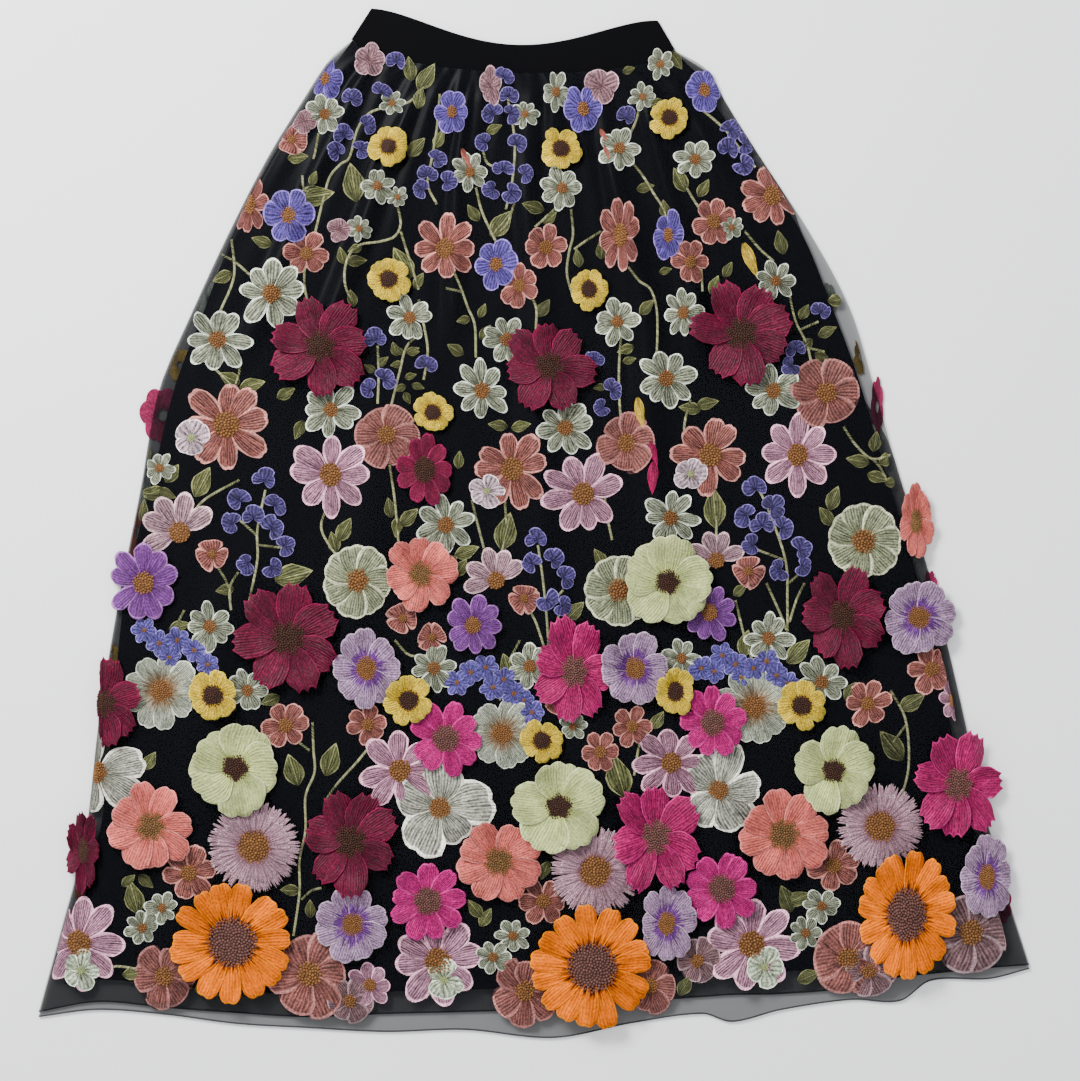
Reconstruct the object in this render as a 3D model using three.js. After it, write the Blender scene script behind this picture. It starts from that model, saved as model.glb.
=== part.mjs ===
// A maxi skirt laid flat on its back, front side up: a gathered organza skirt covered with sewn-on
// flowers, a plain lining inside it, and an elastic waistband.
// Millimetres. +Z is up, +Y runs from the hem to the waist, and +X is to the right as seen from above.
// The origin is the middle of the space the skirt covers, on the surface that it lies on.
import * as THREE from "three";

// Cloth walls, and the air left between two pieces
const organzaWall = 1.3;
const liningWall = 1.1;
const bandWall = 1.8;
const petalWall = 1.4;
const gap = 0.4;

// Side seams of the organza: the left one is 976 long in Y and the right one 918
const leftSeam = { top: 483, foot: -493 };
const rightSeam = { top: 473, foot: -445 };

// One row for each level of the skirt. along is the share of the way from the waist seam to the hem,
// left and right are the organza's sides in X, and tuck is how far inside them the lining's sides lie.
const levels = [
  { along: 0.0, left: -181, right: 139, tuck: 0 },
  { along: 0.02, left: -204, right: 171, tuck: 9 },
  { along: 0.06, left: -230, right: 193, tuck: 12 },
  { along: 0.12, left: -266, right: 228, tuck: 13 },
  { along: 0.2, left: -306, right: 276, tuck: 14 },
  { along: 0.28, left: -342, right: 315, tuck: 17 },
  { along: 0.36, left: -375, right: 338, tuck: 19 },
  { along: 0.46, left: -393, right: 364, tuck: 19 },
  { along: 0.58, left: -416, right: 397, tuck: 19 },
  { along: 0.7, left: -435, right: 424, tuck: 19 },
  { along: 0.82, left: -449, right: 448, tuck: 20 },
  { along: 0.92, left: -474, right: 472, tuck: 22 },
  { along: 1.0, left: -495, right: 495, tuck: 26 },
];

// The hems, one row for each rise and dip of the edge. across is the share of the width.
const hems = [
  { across: 0.0, front: -493, back: -488 },
  { across: 0.06, front: -486, back: -478 },
  { across: 0.13, front: -491, back: -484 },
  { across: 0.2, front: -500, back: -489 },
  { across: 0.27, front: -504, back: -493 },
  { across: 0.35, front: -508, back: -490 },
  { across: 0.43, front: -506, back: -488 },
  { across: 0.52, front: -514, back: -485 },
  { across: 0.6, front: -499, back: -478 },
  { across: 0.67, front: -490, back: -473 },
  { across: 0.7, front: -498, back: -471 },
  { across: 0.75, front: -486, back: -470 },
  { across: 0.82, front: -476, back: -464 },
  { across: 0.87, front: -477, back: -453 },
  { across: 0.9, front: -457, back: -450 },
  { across: 0.96, front: -455, back: -444 },
  { across: 1.0, front: -445, back: -441 },
];
const liningShort = 22; // how far the lining ends above the back hem

// The waist: the seam under the band and the band's top edge both dip between the two sides
const seamDip = { depth: 28, power: 0.6 };
const bandTop = {
  left: { x: -161, y: 514 },
  right: { x: 122, y: 502 },
  depth: 30,
  power: 1.8,
};

// Folds of the organza. start and end are shares of the length, from and to the share of the width
// where the crest starts and ends, rise its height and spread its half width.
const folds = [
  { start: 0.0, end: 0.34, from: 0.1, to: 0.1, rise: 5, spread: 20 },
  { start: 0.0, end: 0.36, from: 0.245, to: 0.19, rise: 8, spread: 22 },
  { start: 0.0, end: 0.3, from: 0.37, to: 0.4, rise: 6, spread: 18 },
  { start: 0.02, end: 0.72, from: 0.52, to: 0.54, rise: 7, spread: 26 },
  { start: 0.02, end: 0.64, from: 0.71, to: 0.67, rise: 9, spread: 24 },
  { start: 0.0, end: 0.32, from: 0.83, to: 0.76, rise: 7, spread: 20 },
  { start: 0.02, end: 0.44, from: 0.93, to: 0.88, rise: 7, spread: 20 },
  { start: 0.36, end: 1.15, from: 0.3, to: 0.28, rise: 5, spread: 40 },
  { start: 0.48, end: 1.2, from: 0.13, to: 0.12, rise: 5, spread: 36 },
  { start: 0.52, end: 1.2, from: 0.44, to: 0.43, rise: 4, spread: 38 },
  { start: 0.6, end: 1.25, from: 0.58, to: 0.56, rise: 7, spread: 34 },
  { start: 0.66, end: 1.25, from: 0.72, to: 0.71, rise: 6, spread: 30 },
  { start: 0.66, end: 1.25, from: 0.88, to: 0.88, rise: 7, spread: 30 },
  { start: 0.82, end: 1.3, from: 0.03, to: 0.03, rise: 4, spread: 26 },
];
const gathers = { count: 16, rise: 4.5, full: 0.03, fade: 0.09 };
const sideStrip = 5; // the organza comes down to the back panel over this width at each side
const liningLoft = { height: 1.6, shoulder: 60 };

// Levels of the stacked layers at their lowest
const liningBackZ = organzaWall + gap;
const liningFrontZ = liningBackZ + liningWall + gap;
const organzaEdgeZ = organzaWall + gap;
const organzaFrontZ = liningFrontZ + liningWall + 0.6;

// How finely the cloth is divided
const frontCells = { across: 64, along: 16, crowding: 1.45 };
const seamCells = 24;
const liningCells = { across: seamCells, along: 9 };
const bandCells = { across: seamCells, fold: 4, high: 2 };
const panelSteps = seamCells;

// Kinds of sewn-on flower. points are the corners for each petal, notch the cut between two petals as
// a share of the radius, heart the centre's share, lift the height of the petal tips and dome that of
// the heart.
const kinds = {
  thistle: { petals: 20, points: 1, notch: 0, heart: 0.36, lift: 3, dome: 2.5, colour: 0xb9a3b4 },
  aster: { petals: 8, points: 3, notch: 0.3, heart: 0.27, lift: 3, dome: 1.5, colour: 0x9a63b5 },
  daisy: { petals: 8, points: 3, notch: 0.2, heart: 0.32, lift: 4, dome: 2.5, colour: 0xb32463 },
  windflower: { petals: 9, points: 2, notch: 0.08, heart: 0.3, lift: 6, dome: 1.5, colour: 0xa894bd },
  cosmos: { petals: 6, points: 3, notch: 0.14, heart: 0.27, lift: 7, dome: 3, colour: 0xa0184e },
  buttercup: { petals: 7, points: 2, notch: 0.1, heart: 0.4, lift: 3, dome: 1.5, colour: 0xd9ae45 },
  poppy: { petals: 8, points: 2, notch: 0.07, heart: 0.28, lift: 6, dome: 1.5, colour: 0xd96e5c },
  anemone: { petals: 7, points: 3, notch: 0.1, heart: 0.27, lift: 7, dome: 2, colour: 0xc9d3a0 },
  gerbera: { petals: 16, points: 2, notch: 0.08, heart: 0.42, lift: 6, dome: 3, colour: 0xe77a10 },
};

// The sewn-on flowers, the lowest first. x and y place the heart, radius is the petals' reach and turn
// is in degrees. left and right are the shares of the radius kept on each side, for a flower that
// stands on edge or wraps round a side.
const flowers = [
  { kind: "thistle", x: -279, y: -323, radius: 47, turn: 0 },
  { kind: "thistle", x: 61, y: -347, radius: 46, turn: 9 },
  { kind: "thistle", x: 345, y: -302, radius: 44, turn: 4 },
  { kind: "aster", x: -389, y: -60, radius: 38, turn: 12, left: 1, right: 0.95 },
  { kind: "aster", x: -61, y: -102, radius: 30, turn: 0, left: 0.95, right: 0.95 },
  { kind: "aster", x: 175, y: -89, radius: 30, turn: 20, left: 0.9, right: 0.9 },
  { kind: "daisy", x: -109, y: 53, radius: 36, turn: 5, left: 0.8, right: 0.8 },
  { kind: "daisy", x: -88, y: -215, radius: 38, turn: 0 },
  { kind: "daisy", x: 178, y: -199, radius: 37, turn: 14, left: 0.85, right: 0.9 },
  { kind: "daisy", x: -106, y: -377, radius: 39, turn: 8 },
  { kind: "daisy", x: 187, y: -364, radius: 39, turn: 3, left: 0.95, right: 0.95 },
  { kind: "windflower", x: -167, y: -145, radius: 40, turn: 0, left: 0.82, right: 0.82 },
  { kind: "windflower", x: 384, y: -94, radius: 38, turn: 10 },
  { kind: "windflower", x: -181, y: -400, radius: 38, turn: 20, left: 0.95, right: 0.95 },
  { kind: "windflower", x: 132, y: -399, radius: 39, turn: 0, left: 0.65, right: 0.75 },
  { kind: "windflower", x: 452, y: -353, radius: 41, turn: 6, left: 0.68, right: 0.62 },
  { kind: "cosmos", x: -213, y: 176, radius: 49, turn: 12 },
  { kind: "cosmos", x: 15, y: 156, radius: 47, turn: 40, left: 0.95, right: 0.95 },
  { kind: "cosmos", x: 207, y: 189, radius: 51, turn: 22 },
  { kind: "cosmos", x: -245, y: -115, radius: 54, turn: 30 },
  { kind: "cosmos", x: 40, y: -148, radius: 53, turn: 5, left: 0.8, right: 0.78 },
  { kind: "cosmos", x: 307, y: -93, radius: 51, turn: 25, left: 0.75, right: 0.85 },
  { kind: "cosmos", x: -183, y: -317, radius: 53, turn: 18, left: 0.9, right: 0.92 },
  { kind: "cosmos", x: 121, y: -313, radius: 55, turn: 36, left: 0.78, right: 0.85 },
  { kind: "cosmos", x: 423, y: -261, radius: 53, turn: 10, left: 0.82, right: 0.82 },
  { kind: "cosmos", x: -430, y: -180, radius: 43, turn: 20, left: 0.12, right: 1 },
  { kind: "cosmos", x: -449, y: -327, radius: 41, turn: 0, left: 0.42, right: 0.4 },
  { kind: "windflower", x: 101, y: -145, radius: 38, turn: 14, left: 0.9, right: 0.9 },
  { kind: "buttercup", x: -145, y: 375, radius: 20, turn: 0 },
  { kind: "buttercup", x: 27, y: 373, radius: 21, turn: 20 },
  { kind: "buttercup", x: 135, y: 404, radius: 20.5, turn: 10 },
  { kind: "buttercup", x: -145, y: 243, radius: 22, turn: 30 },
  { kind: "buttercup", x: 55, y: 233, radius: 22, turn: 5, left: 0.84, right: 0.84 },
  { kind: "buttercup", x: -101, y: 110, radius: 20, turn: 0 },
  { kind: "buttercup", x: -320, y: -172, radius: 25, turn: 15 },
  { kind: "buttercup", x: -125, y: -177, radius: 24, turn: 40 },
  { kind: "buttercup", x: 8, y: -217, radius: 22, turn: 12 },
  { kind: "buttercup", x: 141, y: -168, radius: 24, turn: 0, left: 0.8, right: 0.8 },
  { kind: "buttercup", x: 267, y: -182, radius: 24, turn: 25 },
  { kind: "poppy", x: -113, y: -51, radius: 38, turn: 0, left: 0.92, right: 0.92 },
  { kind: "poppy", x: -382, y: -303, radius: 43, turn: 12 },
  { kind: "poppy", x: -35, y: -337, radius: 42, turn: 20 },
  { kind: "poppy", x: 249, y: -311, radius: 45, turn: 6 },
  { kind: "poppy", x: 381, y: 2, radius: 37, turn: 10, left: 0.42, right: 0.5 },
  { kind: "anemone", x: 133, y: -59, radius: 44, turn: 8 },
  { kind: "anemone", x: -298, y: -244, radius: 47, turn: 0 },
  { kind: "anemone", x: 25, y: -283, radius: 46, turn: 22 },
  { kind: "anemone", x: 299, y: -247, radius: 44, turn: 14, left: 0.92, right: 0.92 },
  { kind: "gerbera", x: -301, y: -418, radius: 61, turn: 4 },
  { kind: "gerbera", x: 58, y: -442, radius: 61, turn: 0 },
  { kind: "gerbera", x: 371, y: -390, radius: 64, turn: 9, left: 0.75, right: 0.78 },
];

const mix = (a, b, share) => a + (b - a) * share;
const clamp01 = (value) => Math.min(1, Math.max(0, value));
const smooth = (value) => clamp01(value) ** 2 * (3 - 2 * clamp01(value));
const arch = (across) => Math.max(0, 4 * across * (1 - across));

// Reads a column of a table at a place between its rows, along a smooth curve through them
function read(table, key, at, column) {
  let row = 0;
  while (row < table.length - 2 && table[row + 1][key] < at) row += 1;
  const slope = (index) => {
    const before = table[Math.max(0, index - 1)];
    const after = table[Math.min(table.length - 1, index + 1)];
    return (after[column] - before[column]) / (after[key] - before[key]);
  };
  const span = table[row + 1][key] - table[row][key];
  const s = clamp01((at - table[row][key]) / span);
  const ends = mix(table[row][column], table[row + 1][column], s * s * (3 - 2 * s));
  return ends + span * s * (1 - s) * (slope(row) * (1 - s) - slope(row + 1) * s);
}

const seamY = (across) =>
  mix(leftSeam.top, rightSeam.top, across) - seamDip.depth * arch(across) ** seamDip.power;

// The plan of the skirt: where the organza's point at these shares lies, and how wide it is there
function planX(across, along) {
  return mix(read(levels, "along", along, "left"), read(levels, "along", along, "right"), across);
}
const widthAt = (along) => planX(1, along) - planX(0, along);

// Height that the gathers and folds add over the organza's lowest level
function foldRise(across, along) {
  const waist = clamp01(along / gathers.full) * Math.exp(-Math.max(0, along - gathers.full) / gathers.fade);
  const uneven = 0.75 + 0.25 * Math.sin(across * 23);
  let rise = gathers.rise * waist * uneven * (0.5 - 0.5 * Math.cos(2 * Math.PI * gathers.count * across));
  for (const fold of folds) {
    const share = (along - fold.start) / (fold.end - fold.start);
    if (share <= 0 || share >= 1) continue;
    const middle = mix(fold.from, fold.to, share);
    const spread = (fold.spread * mix(0.55, 1, clamp01(along * 3))) / widthAt(along);
    const reach = clamp01(1 - Math.abs(across - middle) / spread);
    const ridge = fold.rise * smooth(Math.min(share, 1 - share) * 5) * smooth(reach);
    rise = Math.max(rise, ridge) + 0.3 * Math.min(rise, ridge);
  }
  return rise;
}

const loft = (fromSide) => liningLoft.height * smooth(fromSide / liningLoft.shoulder);

// A closed solid from corner points and the faces between them, turned so that it faces outwards
function solid(points, triangles) {
  const [a, b, c] = [0, 1, 2].map(() => new THREE.Vector3());
  let volume = 0;
  for (const [i, j, k] of triangles) {
    volume += a.copy(points[i]).dot(b.copy(points[j]).cross(c.copy(points[k])));
  }
  const facing = volume < 0 ? triangles.map(([i, j, k]) => [i, k, j]) : triangles;
  const geometry = new THREE.BufferGeometry().setFromPoints(points);
  geometry.setIndex(facing.flat());
  geometry.computeVertexNormals();
  return geometry;
}

const quad = (a, b, c, d) => [[a, b, c], [a, c, d]];

// A wall of cloth over a grid: under(i, j) gives its underside, and its top lies a wall above
function sheetWall(cells, wall, under) {
  const points = [];
  const triangles = [];
  const row = cells.across + 1;
  const layer = row * (cells.along + 1);
  for (const lift of [0, wall]) {
    for (let j = 0; j <= cells.along; j += 1) {
      for (let i = 0; i < row; i += 1) {
        points.push(under(i, j).add(new THREE.Vector3(0, 0, lift)));
      }
    }
  }
  for (let j = 0; j < cells.along; j += 1) {
    for (let i = 0; i < cells.across; i += 1) {
      const [a, b, c, d] = [j * row + i, j * row + i + 1, (j + 1) * row + i + 1, (j + 1) * row + i];
      triangles.push(...quad(a, b, c, d), ...quad(layer + d, layer + c, layer + b, layer + a));
    }
  }
  const rim = [];
  for (let i = 0; i < cells.across; i += 1) rim.push(i);
  for (let j = 0; j < cells.along; j += 1) rim.push(j * row + cells.across);
  for (let i = cells.across; i > 0; i -= 1) rim.push(cells.along * row + i);
  for (let j = cells.along; j > 0; j -= 1) rim.push(j * row);
  rim.forEach((from, index) => {
    const to = rim[(index + 1) % rim.length];
    triangles.push(...quad(to, from, layer + from, layer + to));
  });
  return { points, triangles, layer };
}

// The organza's front panel. Its last strip hangs past the back panel's hem, down to the surface.
function frontPanel() {
  const cells = frontCells;
  return sheetWall(cells, organzaWall, (i, j) => {
    const last = j === cells.along;
    const along = Math.min(1, (j / (cells.along - 1)) ** cells.crowding);
    const strip = sideStrip / widthAt(along);
    const inner = mix(strip, 1 - strip, (i - 1) / (cells.across - 2));
    const across = i === 0 ? 0 : i === cells.across ? 1 : inner;
    const side = i === 0 || i === cells.across;
    const hem = read(hems, "across", across, last ? "front" : "back") - (last ? 0 : 2);
    const fromSide = Math.min(across, 1 - across) * widthAt(along);
    const rise = side ? 0 : foldRise(across, along) * smooth(fromSide / 24) + loft(fromSide - sideStrip);
    const edge = mix(organzaFrontZ, organzaEdgeZ, smooth(along / 0.04));
    const ground = last ? 0.1 : side ? edge : organzaFrontZ;
    const y = last ? hem : mix(seamY(across) - gap, hem, along);
    return new THREE.Vector3(planX(across, along), y, ground + rise);
  });
}

// The lining's front panel, a smooth and narrower sheet under the organza
function liningFront() {
  return sheetWall(liningCells, liningWall, (i, j) => {
    const along = j / liningCells.along;
    const share = i / liningCells.across;
    const tuck = read(levels, "along", along, "tuck") / widthAt(along);
    const across = mix(tuck, 1 - tuck, share);
    const hem = read(hems, "across", across, "back") + liningShort;
    const fromSide = Math.min(share, 1 - share) * widthAt(along);
    return new THREE.Vector3(
      planX(across, along),
      mix(seamY(across) - gap, hem, along),
      liningFrontZ + loft(fromSide) * 0.8,
    );
  });
}

// A flat panel cut to the skirt's outline, inset by a share of tuck, with its hem raised by short
function flatPanel(inset, short, bottom, wall) {
  const outline = [];
  const place = (across, along) => {
    const tuck = (inset * read(levels, "along", along, "tuck")) / widthAt(along);
    const share = mix(tuck, 1 - tuck, across);
    const hem = read(hems, "across", share, "back") + short;
    return new THREE.Vector2(planX(share, along), mix(seamY(share) - gap, hem, along));
  };
  const steps = panelSteps;
  for (let n = 0; n < steps; n += 1) outline.push(place(0, n / steps));
  for (let n = 0; n < steps; n += 1) outline.push(place(n / steps, 1));
  for (let n = steps; n > 0; n -= 1) outline.push(place(1, n / steps));
  for (let n = steps; n > 0; n -= 1) outline.push(place(n / steps, 0));
  const shape = new THREE.Shape(outline);
  return new THREE.ExtrudeGeometry(shape, { depth: wall, bevelEnabled: false }).translate(0, 0, bottom);
}

// The elastic waistband: one ring of webbing pressed flat, folded over at both ends
function waistband() {
  const thick = 2 * bandWall + gap;
  const edge = (across, up) => {
    const top = mix(bandTop.left.y, bandTop.right.y, across) - bandTop.depth * arch(across) ** bandTop.power;
    const topX = mix(bandTop.left.x, bandTop.right.x, across);
    return [mix(planX(across, 0), topX, up), mix(seamY(across), top, up)];
  };
  const around = [];
  for (const face of [1, -1]) {
    for (let n = 0; n < bandCells.across; n += 1) {
      const share = n / bandCells.across;
      around.push({ across: face > 0 ? share : 1 - share, turn: (face * Math.PI) / 2 });
    }
    for (let n = 0; n < bandCells.fold; n += 1) {
      const turned = Math.PI * (face / 2 - n / bandCells.fold);
      around.push({ across: face > 0 ? 1 : 0, turn: turned });
    }
  }
  const points = [];
  const triangles = [];
  for (const radius of [thick / 2, gap / 2]) {
    for (let high = 0; high <= bandCells.high; high += 1) {
      for (const { across, turn } of around) {
        const [x, y] = edge(across, high / bandCells.high);
        const out = Math.abs(Math.cos(turn)) < 1e-9 ? 0 : Math.cos(turn) * radius;
        points.push(new THREE.Vector3(x + out, y, thick / 2 + Math.sin(turn) * radius));
      }
    }
  }
  const ring = around.length;
  const layer = ring * (bandCells.high + 1);
  for (let n = 0; n < ring; n += 1) {
    const next = (n + 1) % ring;
    for (let high = 0; high < bandCells.high; high += 1) {
      const [a, b, c, d] = [n, next, ring + next, ring + n].map((index) => high * ring + index);
      triangles.push(...quad(a, b, c, d), ...quad(layer + d, layer + c, layer + b, layer + a));
    }
    const top = bandCells.high * ring;
    triangles.push(...quad(next, n, layer + n, layer + next));
    triangles.push(...quad(top + n, top + next, layer + top + next, layer + top + n));
  }
  return solid(points, triangles);
}

// The surface that flowers are laid on: triangles kept in square bins, so a height is found quickly
const binSize = 12;
const bins = new Map();
const binKey = (x, y) => `${Math.floor(x / binSize)},${Math.floor(y / binSize)}`;

function addGround(corners) {
  const xs = corners.map((p) => p.x);
  const ys = corners.map((p) => p.y);
  for (let x = Math.floor(Math.min(...xs) / binSize); x <= Math.floor(Math.max(...xs) / binSize); x += 1) {
    for (let y = Math.floor(Math.min(...ys) / binSize); y <= Math.floor(Math.max(...ys) / binSize); y += 1) {
      const key = `${x},${y}`;
      if (!bins.has(key)) bins.set(key, []);
      bins.get(key).push(corners);
    }
  }
}

function groundAt(x, y) {
  let height = 0;
  for (const [a, b, c] of bins.get(binKey(x, y)) ?? []) {
    const area = (b.x - a.x) * (c.y - a.y) - (c.x - a.x) * (b.y - a.y);
    if (Math.abs(area) < 1e-9) continue;
    const s = ((x - a.x) * (c.y - a.y) - (c.x - a.x) * (y - a.y)) / area;
    const t = ((b.x - a.x) * (y - a.y) - (x - a.x) * (b.y - a.y)) / area;
    if (s < -1e-6 || t < -1e-6 || s + t > 1 + 1e-6) continue;
    height = Math.max(height, a.z + s * (b.z - a.z) + t * (c.z - a.z));
  }
  return height;
}

// The highest ground within a reach of a point
function groundNear(x, y, reach) {
  let height = groundAt(x, y);
  for (let turn = 0; turn < 8; turn += 1) {
    for (const share of [0.5, 1]) {
      const [dx, dy] = [Math.cos((turn * Math.PI) / 4), Math.sin((turn * Math.PI) / 4)];
      height = Math.max(height, groundAt(x + dx * reach * share, y + dy * reach * share));
    }
  }
  return height;
}

// How far points of a face stand over the ground, at the closest
function clearance(a, b, c) {
  const longest = Math.max(a.distanceTo(b), b.distanceTo(c), c.distanceTo(a));
  const steps = Math.max(2, Math.ceil(longest / 1.2));
  let least = Infinity;
  for (let i = 0; i <= steps; i += 1) {
    for (let j = 0; j <= steps - i; j += 1) {
      const [s, t] = [i / steps, j / steps];
      const point = a.clone().multiplyScalar(1 - s - t).addScaledVector(b, s).addScaledVector(c, t);
      least = Math.min(least, point.z - groundAt(point.x, point.y));
    }
  }
  return least;
}

// A sewn-on flower: one cupped disc with lobed petals and a raised heart, laid over what is under it
function flower({ kind, x, y, radius, turn, left = 1, right = 1 }) {
  const { petals, points, notch, heart, lift, dome } = kinds[kind];
  const count = petals * points;
  const small = radius < 26 || points === 1;
  const drapeReach = radius < 26 ? 4 : 7;
  const place = (share, index) => {
    const angle = (turn * Math.PI) / 180 + (2 * Math.PI * index) / count;
    const lobe = Math.sin((Math.PI * (index % points)) / points) ** 0.6;
    const reach = radius * share * (share === 1 ? 1 - notch * (1 - lobe) : 1);
    const dx = Math.cos(angle) * reach;
    return [x + dx * (dx < 0 ? left : right), y + Math.sin(angle) * reach];
  };
  const corners = [];
  const level = (share, index, raise) => {
    const [px, py] = place(share, index);
    const cup = lift * share ** 1.6 * (1 + 0.2 * Math.sin(index * 2.4));
    corners.push(new THREE.Vector3(px, py, groundNear(px, py, drapeReach) + cup + raise));
  };
  const shares = small ? [heart, 1] : [heart, (1 + heart) / 2, 1];
  for (const [wall, heartRise] of [[0, 0], [petalWall, dome]]) {
    level(0, 0, wall + heartRise);
    for (const share of shares) {
      const raise = wall + (share === heart ? heartRise * 0.6 : 0);
      for (let n = 0; n < count; n += 1) level(share, n, raise);
    }
  }
  const topStart = 1 + shares.length * count;
  const triangles = [];
  for (const start of [0, topStart]) {
    for (let n = 0; n < count; n += 1) {
      const next = (n + 1) % count;
      triangles.push([start, start + 1 + n, start + 1 + next]);
      for (let ring = 1; ring < shares.length; ring += 1) {
        const [low, high] = [start + 1 + (ring - 1) * count, start + 1 + ring * count];
        triangles.push(...quad(low + n, high + n, high + next, low + next));
      }
    }
    if (start === 0) triangles.forEach((face) => face.reverse());
  }
  const topFaces = triangles.length;
  const bottomFaces = topFaces / 2;
  const [lowRim, highRim] = [topStart - count, 2 * topStart - count];
  for (let n = 0; n < count; n += 1) {
    const next = (n + 1) % count;
    triangles.push(...quad(lowRim + n, lowRim + next, highRim + next, highRim + n));
  }
  const heights = triangles.slice(0, bottomFaces).map((face) => clearance(...face.map((n) => corners[n])));
  const least = Math.min(...heights);
  corners.forEach((corner) => { corner.z += gap - least; });
  for (const face of triangles.slice(bottomFaces, topFaces)) addGround(face.map((index) => corners[index]));
  return solid(corners, triangles);
}

function cloth(colour, roughness) {
  return new THREE.MeshStandardMaterial({ color: colour, roughness, metalness: 0 });
}

const skirt = new THREE.Group();
function sew(name, geometry, material) {
  const mesh = new THREE.Mesh(geometry, material);
  mesh.name = name;
  skirt.add(mesh);
}

const front = frontPanel();
front.triangles
  .filter((face) => face.every((index) => index >= front.layer))
  .forEach((face) => addGround(face.map((index) => front.points[index])));
const lining = liningFront();

sew("skirt_back", flatPanel(0, 0, 0, organzaWall), cloth(0x26262c, 0.7));
sew("lining_back", flatPanel(1, liningShort, liningBackZ, liningWall), cloth(0x0c0b10, 0.6));
sew("lining_front", solid(lining.points, lining.triangles), cloth(0x0c0b10, 0.6));
sew("skirt_front", solid(front.points, front.triangles), cloth(0x26262c, 0.7));
sew("waistband", waistband(), cloth(0x121214, 0.85));
const made = {};
for (const row of flowers) {
  made[row.kind] = (made[row.kind] ?? 0) + 1;
  const name = `${row.kind}_${String(made[row.kind]).padStart(2, "0")}`;
  sew(name, flower(row), cloth(kinds[row.kind].colour, 0.65));
}

export default skirt;
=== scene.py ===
import itertools
import math
import random

import bpy
import numpy as np
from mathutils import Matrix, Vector
from mathutils.bvhtree import BVHTree


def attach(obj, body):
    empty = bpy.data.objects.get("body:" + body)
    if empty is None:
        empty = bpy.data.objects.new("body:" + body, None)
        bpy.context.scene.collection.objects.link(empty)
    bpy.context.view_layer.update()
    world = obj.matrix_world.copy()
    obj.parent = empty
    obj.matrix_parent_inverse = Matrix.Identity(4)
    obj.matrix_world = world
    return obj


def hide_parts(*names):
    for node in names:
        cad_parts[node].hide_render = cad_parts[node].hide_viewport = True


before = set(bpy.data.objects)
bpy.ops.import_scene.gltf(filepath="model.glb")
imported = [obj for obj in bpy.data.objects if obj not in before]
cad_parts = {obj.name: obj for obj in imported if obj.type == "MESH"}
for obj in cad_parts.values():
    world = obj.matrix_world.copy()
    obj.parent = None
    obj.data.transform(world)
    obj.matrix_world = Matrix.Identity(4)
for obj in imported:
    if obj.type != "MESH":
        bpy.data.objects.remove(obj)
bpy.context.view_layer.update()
random.seed(41)
rng = np.random.default_rng(41)

# Organza skirt, front and back: two flared panels of fine black organza, gathered at the waist and
# joined at the sides. The front is laid in folds over the lining, and the back is flat under it.
# Sizes are millimetres until a mesh is made. along is the share of the way from the waist to the hem.
MM = 0.001
GAP = 0.4  # between one layer and the next
SEAM_TOP = 483  # the waist seam at its left end
LENGTH = 976  # from there to the hem
LEVELS = np.array(
    # along, left x, right x, how far in the lining's left and right sides are
    [
        (0.00, -181, 139, 0, 0),
        (0.02, -204, 171, 5, 8),
        (0.06, -230, 193, 5, 9),
        (0.12, -266, 228, 5, 8),
        (0.20, -306, 276, 6, 9),
        (0.28, -342, 315, 13, 18),
        (0.36, -375, 338, 17, 15),
        (0.46, -393, 364, 12, 15),
        (0.58, -416, 397, 8, 16),
        (0.70, -435, 424, 15, 18),
        (0.82, -449, 448, 18, 20),
        (0.92, -474, 472, 22, 22),
        (1.00, -495, 495, 26, 26),
    ]
)
HEMS = np.array(
    # across, front hem's y, back hem's y
    [
        (0.00, -493, -488),
        (0.06, -486, -478),
        (0.13, -491, -484),
        (0.20, -500, -489),
        (0.27, -504, -493),
        (0.35, -508, -490),
        (0.43, -506, -488),
        (0.52, -514, -485),
        (0.60, -499, -478),
        (0.67, -490, -473),
        (0.70, -498, -471),
        (0.75, -486, -470),
        (0.82, -476, -464),
        (0.87, -477, -453),
        (0.90, -457, -450),
        (0.96, -455, -444),
        (1.00, -445, -441),
    ]
)
FOLDS = [
    # start, end, from, to, rise, spread
    (0.0, 0.34, 0.1, 0.1, 5, 20),
    (0.0, 0.36, 0.245, 0.19, 8, 22),
    (0.0, 0.3, 0.37, 0.4, 6, 18),
    (0.02, 0.72, 0.52, 0.54, 7, 26),
    (0.02, 0.64, 0.71, 0.67, 9, 24),
    (0.0, 0.32, 0.83, 0.76, 7, 20),
    (0.02, 0.44, 0.93, 0.88, 7, 20),
    (0.36, 1.15, 0.3, 0.28, 5, 40),
    (0.48, 1.2, 0.13, 0.12, 5, 36),
    (0.52, 1.2, 0.44, 0.43, 4, 38),
    (0.6, 1.25, 0.58, 0.56, 7, 34),
    (0.66, 1.25, 0.72, 0.71, 6, 30),
    (0.66, 1.25, 0.88, 0.88, 7, 30),
    (0.82, 1.3, 0.03, 0.03, 4, 26),
]
ORGANZA_TOP = 6.2  # top of the front panel's lowest level
BACK_TOP = 1.3


def smooth(value):
    value = np.clip(value, 0, 1)
    return value**2 * (3 - 2 * value)


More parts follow.
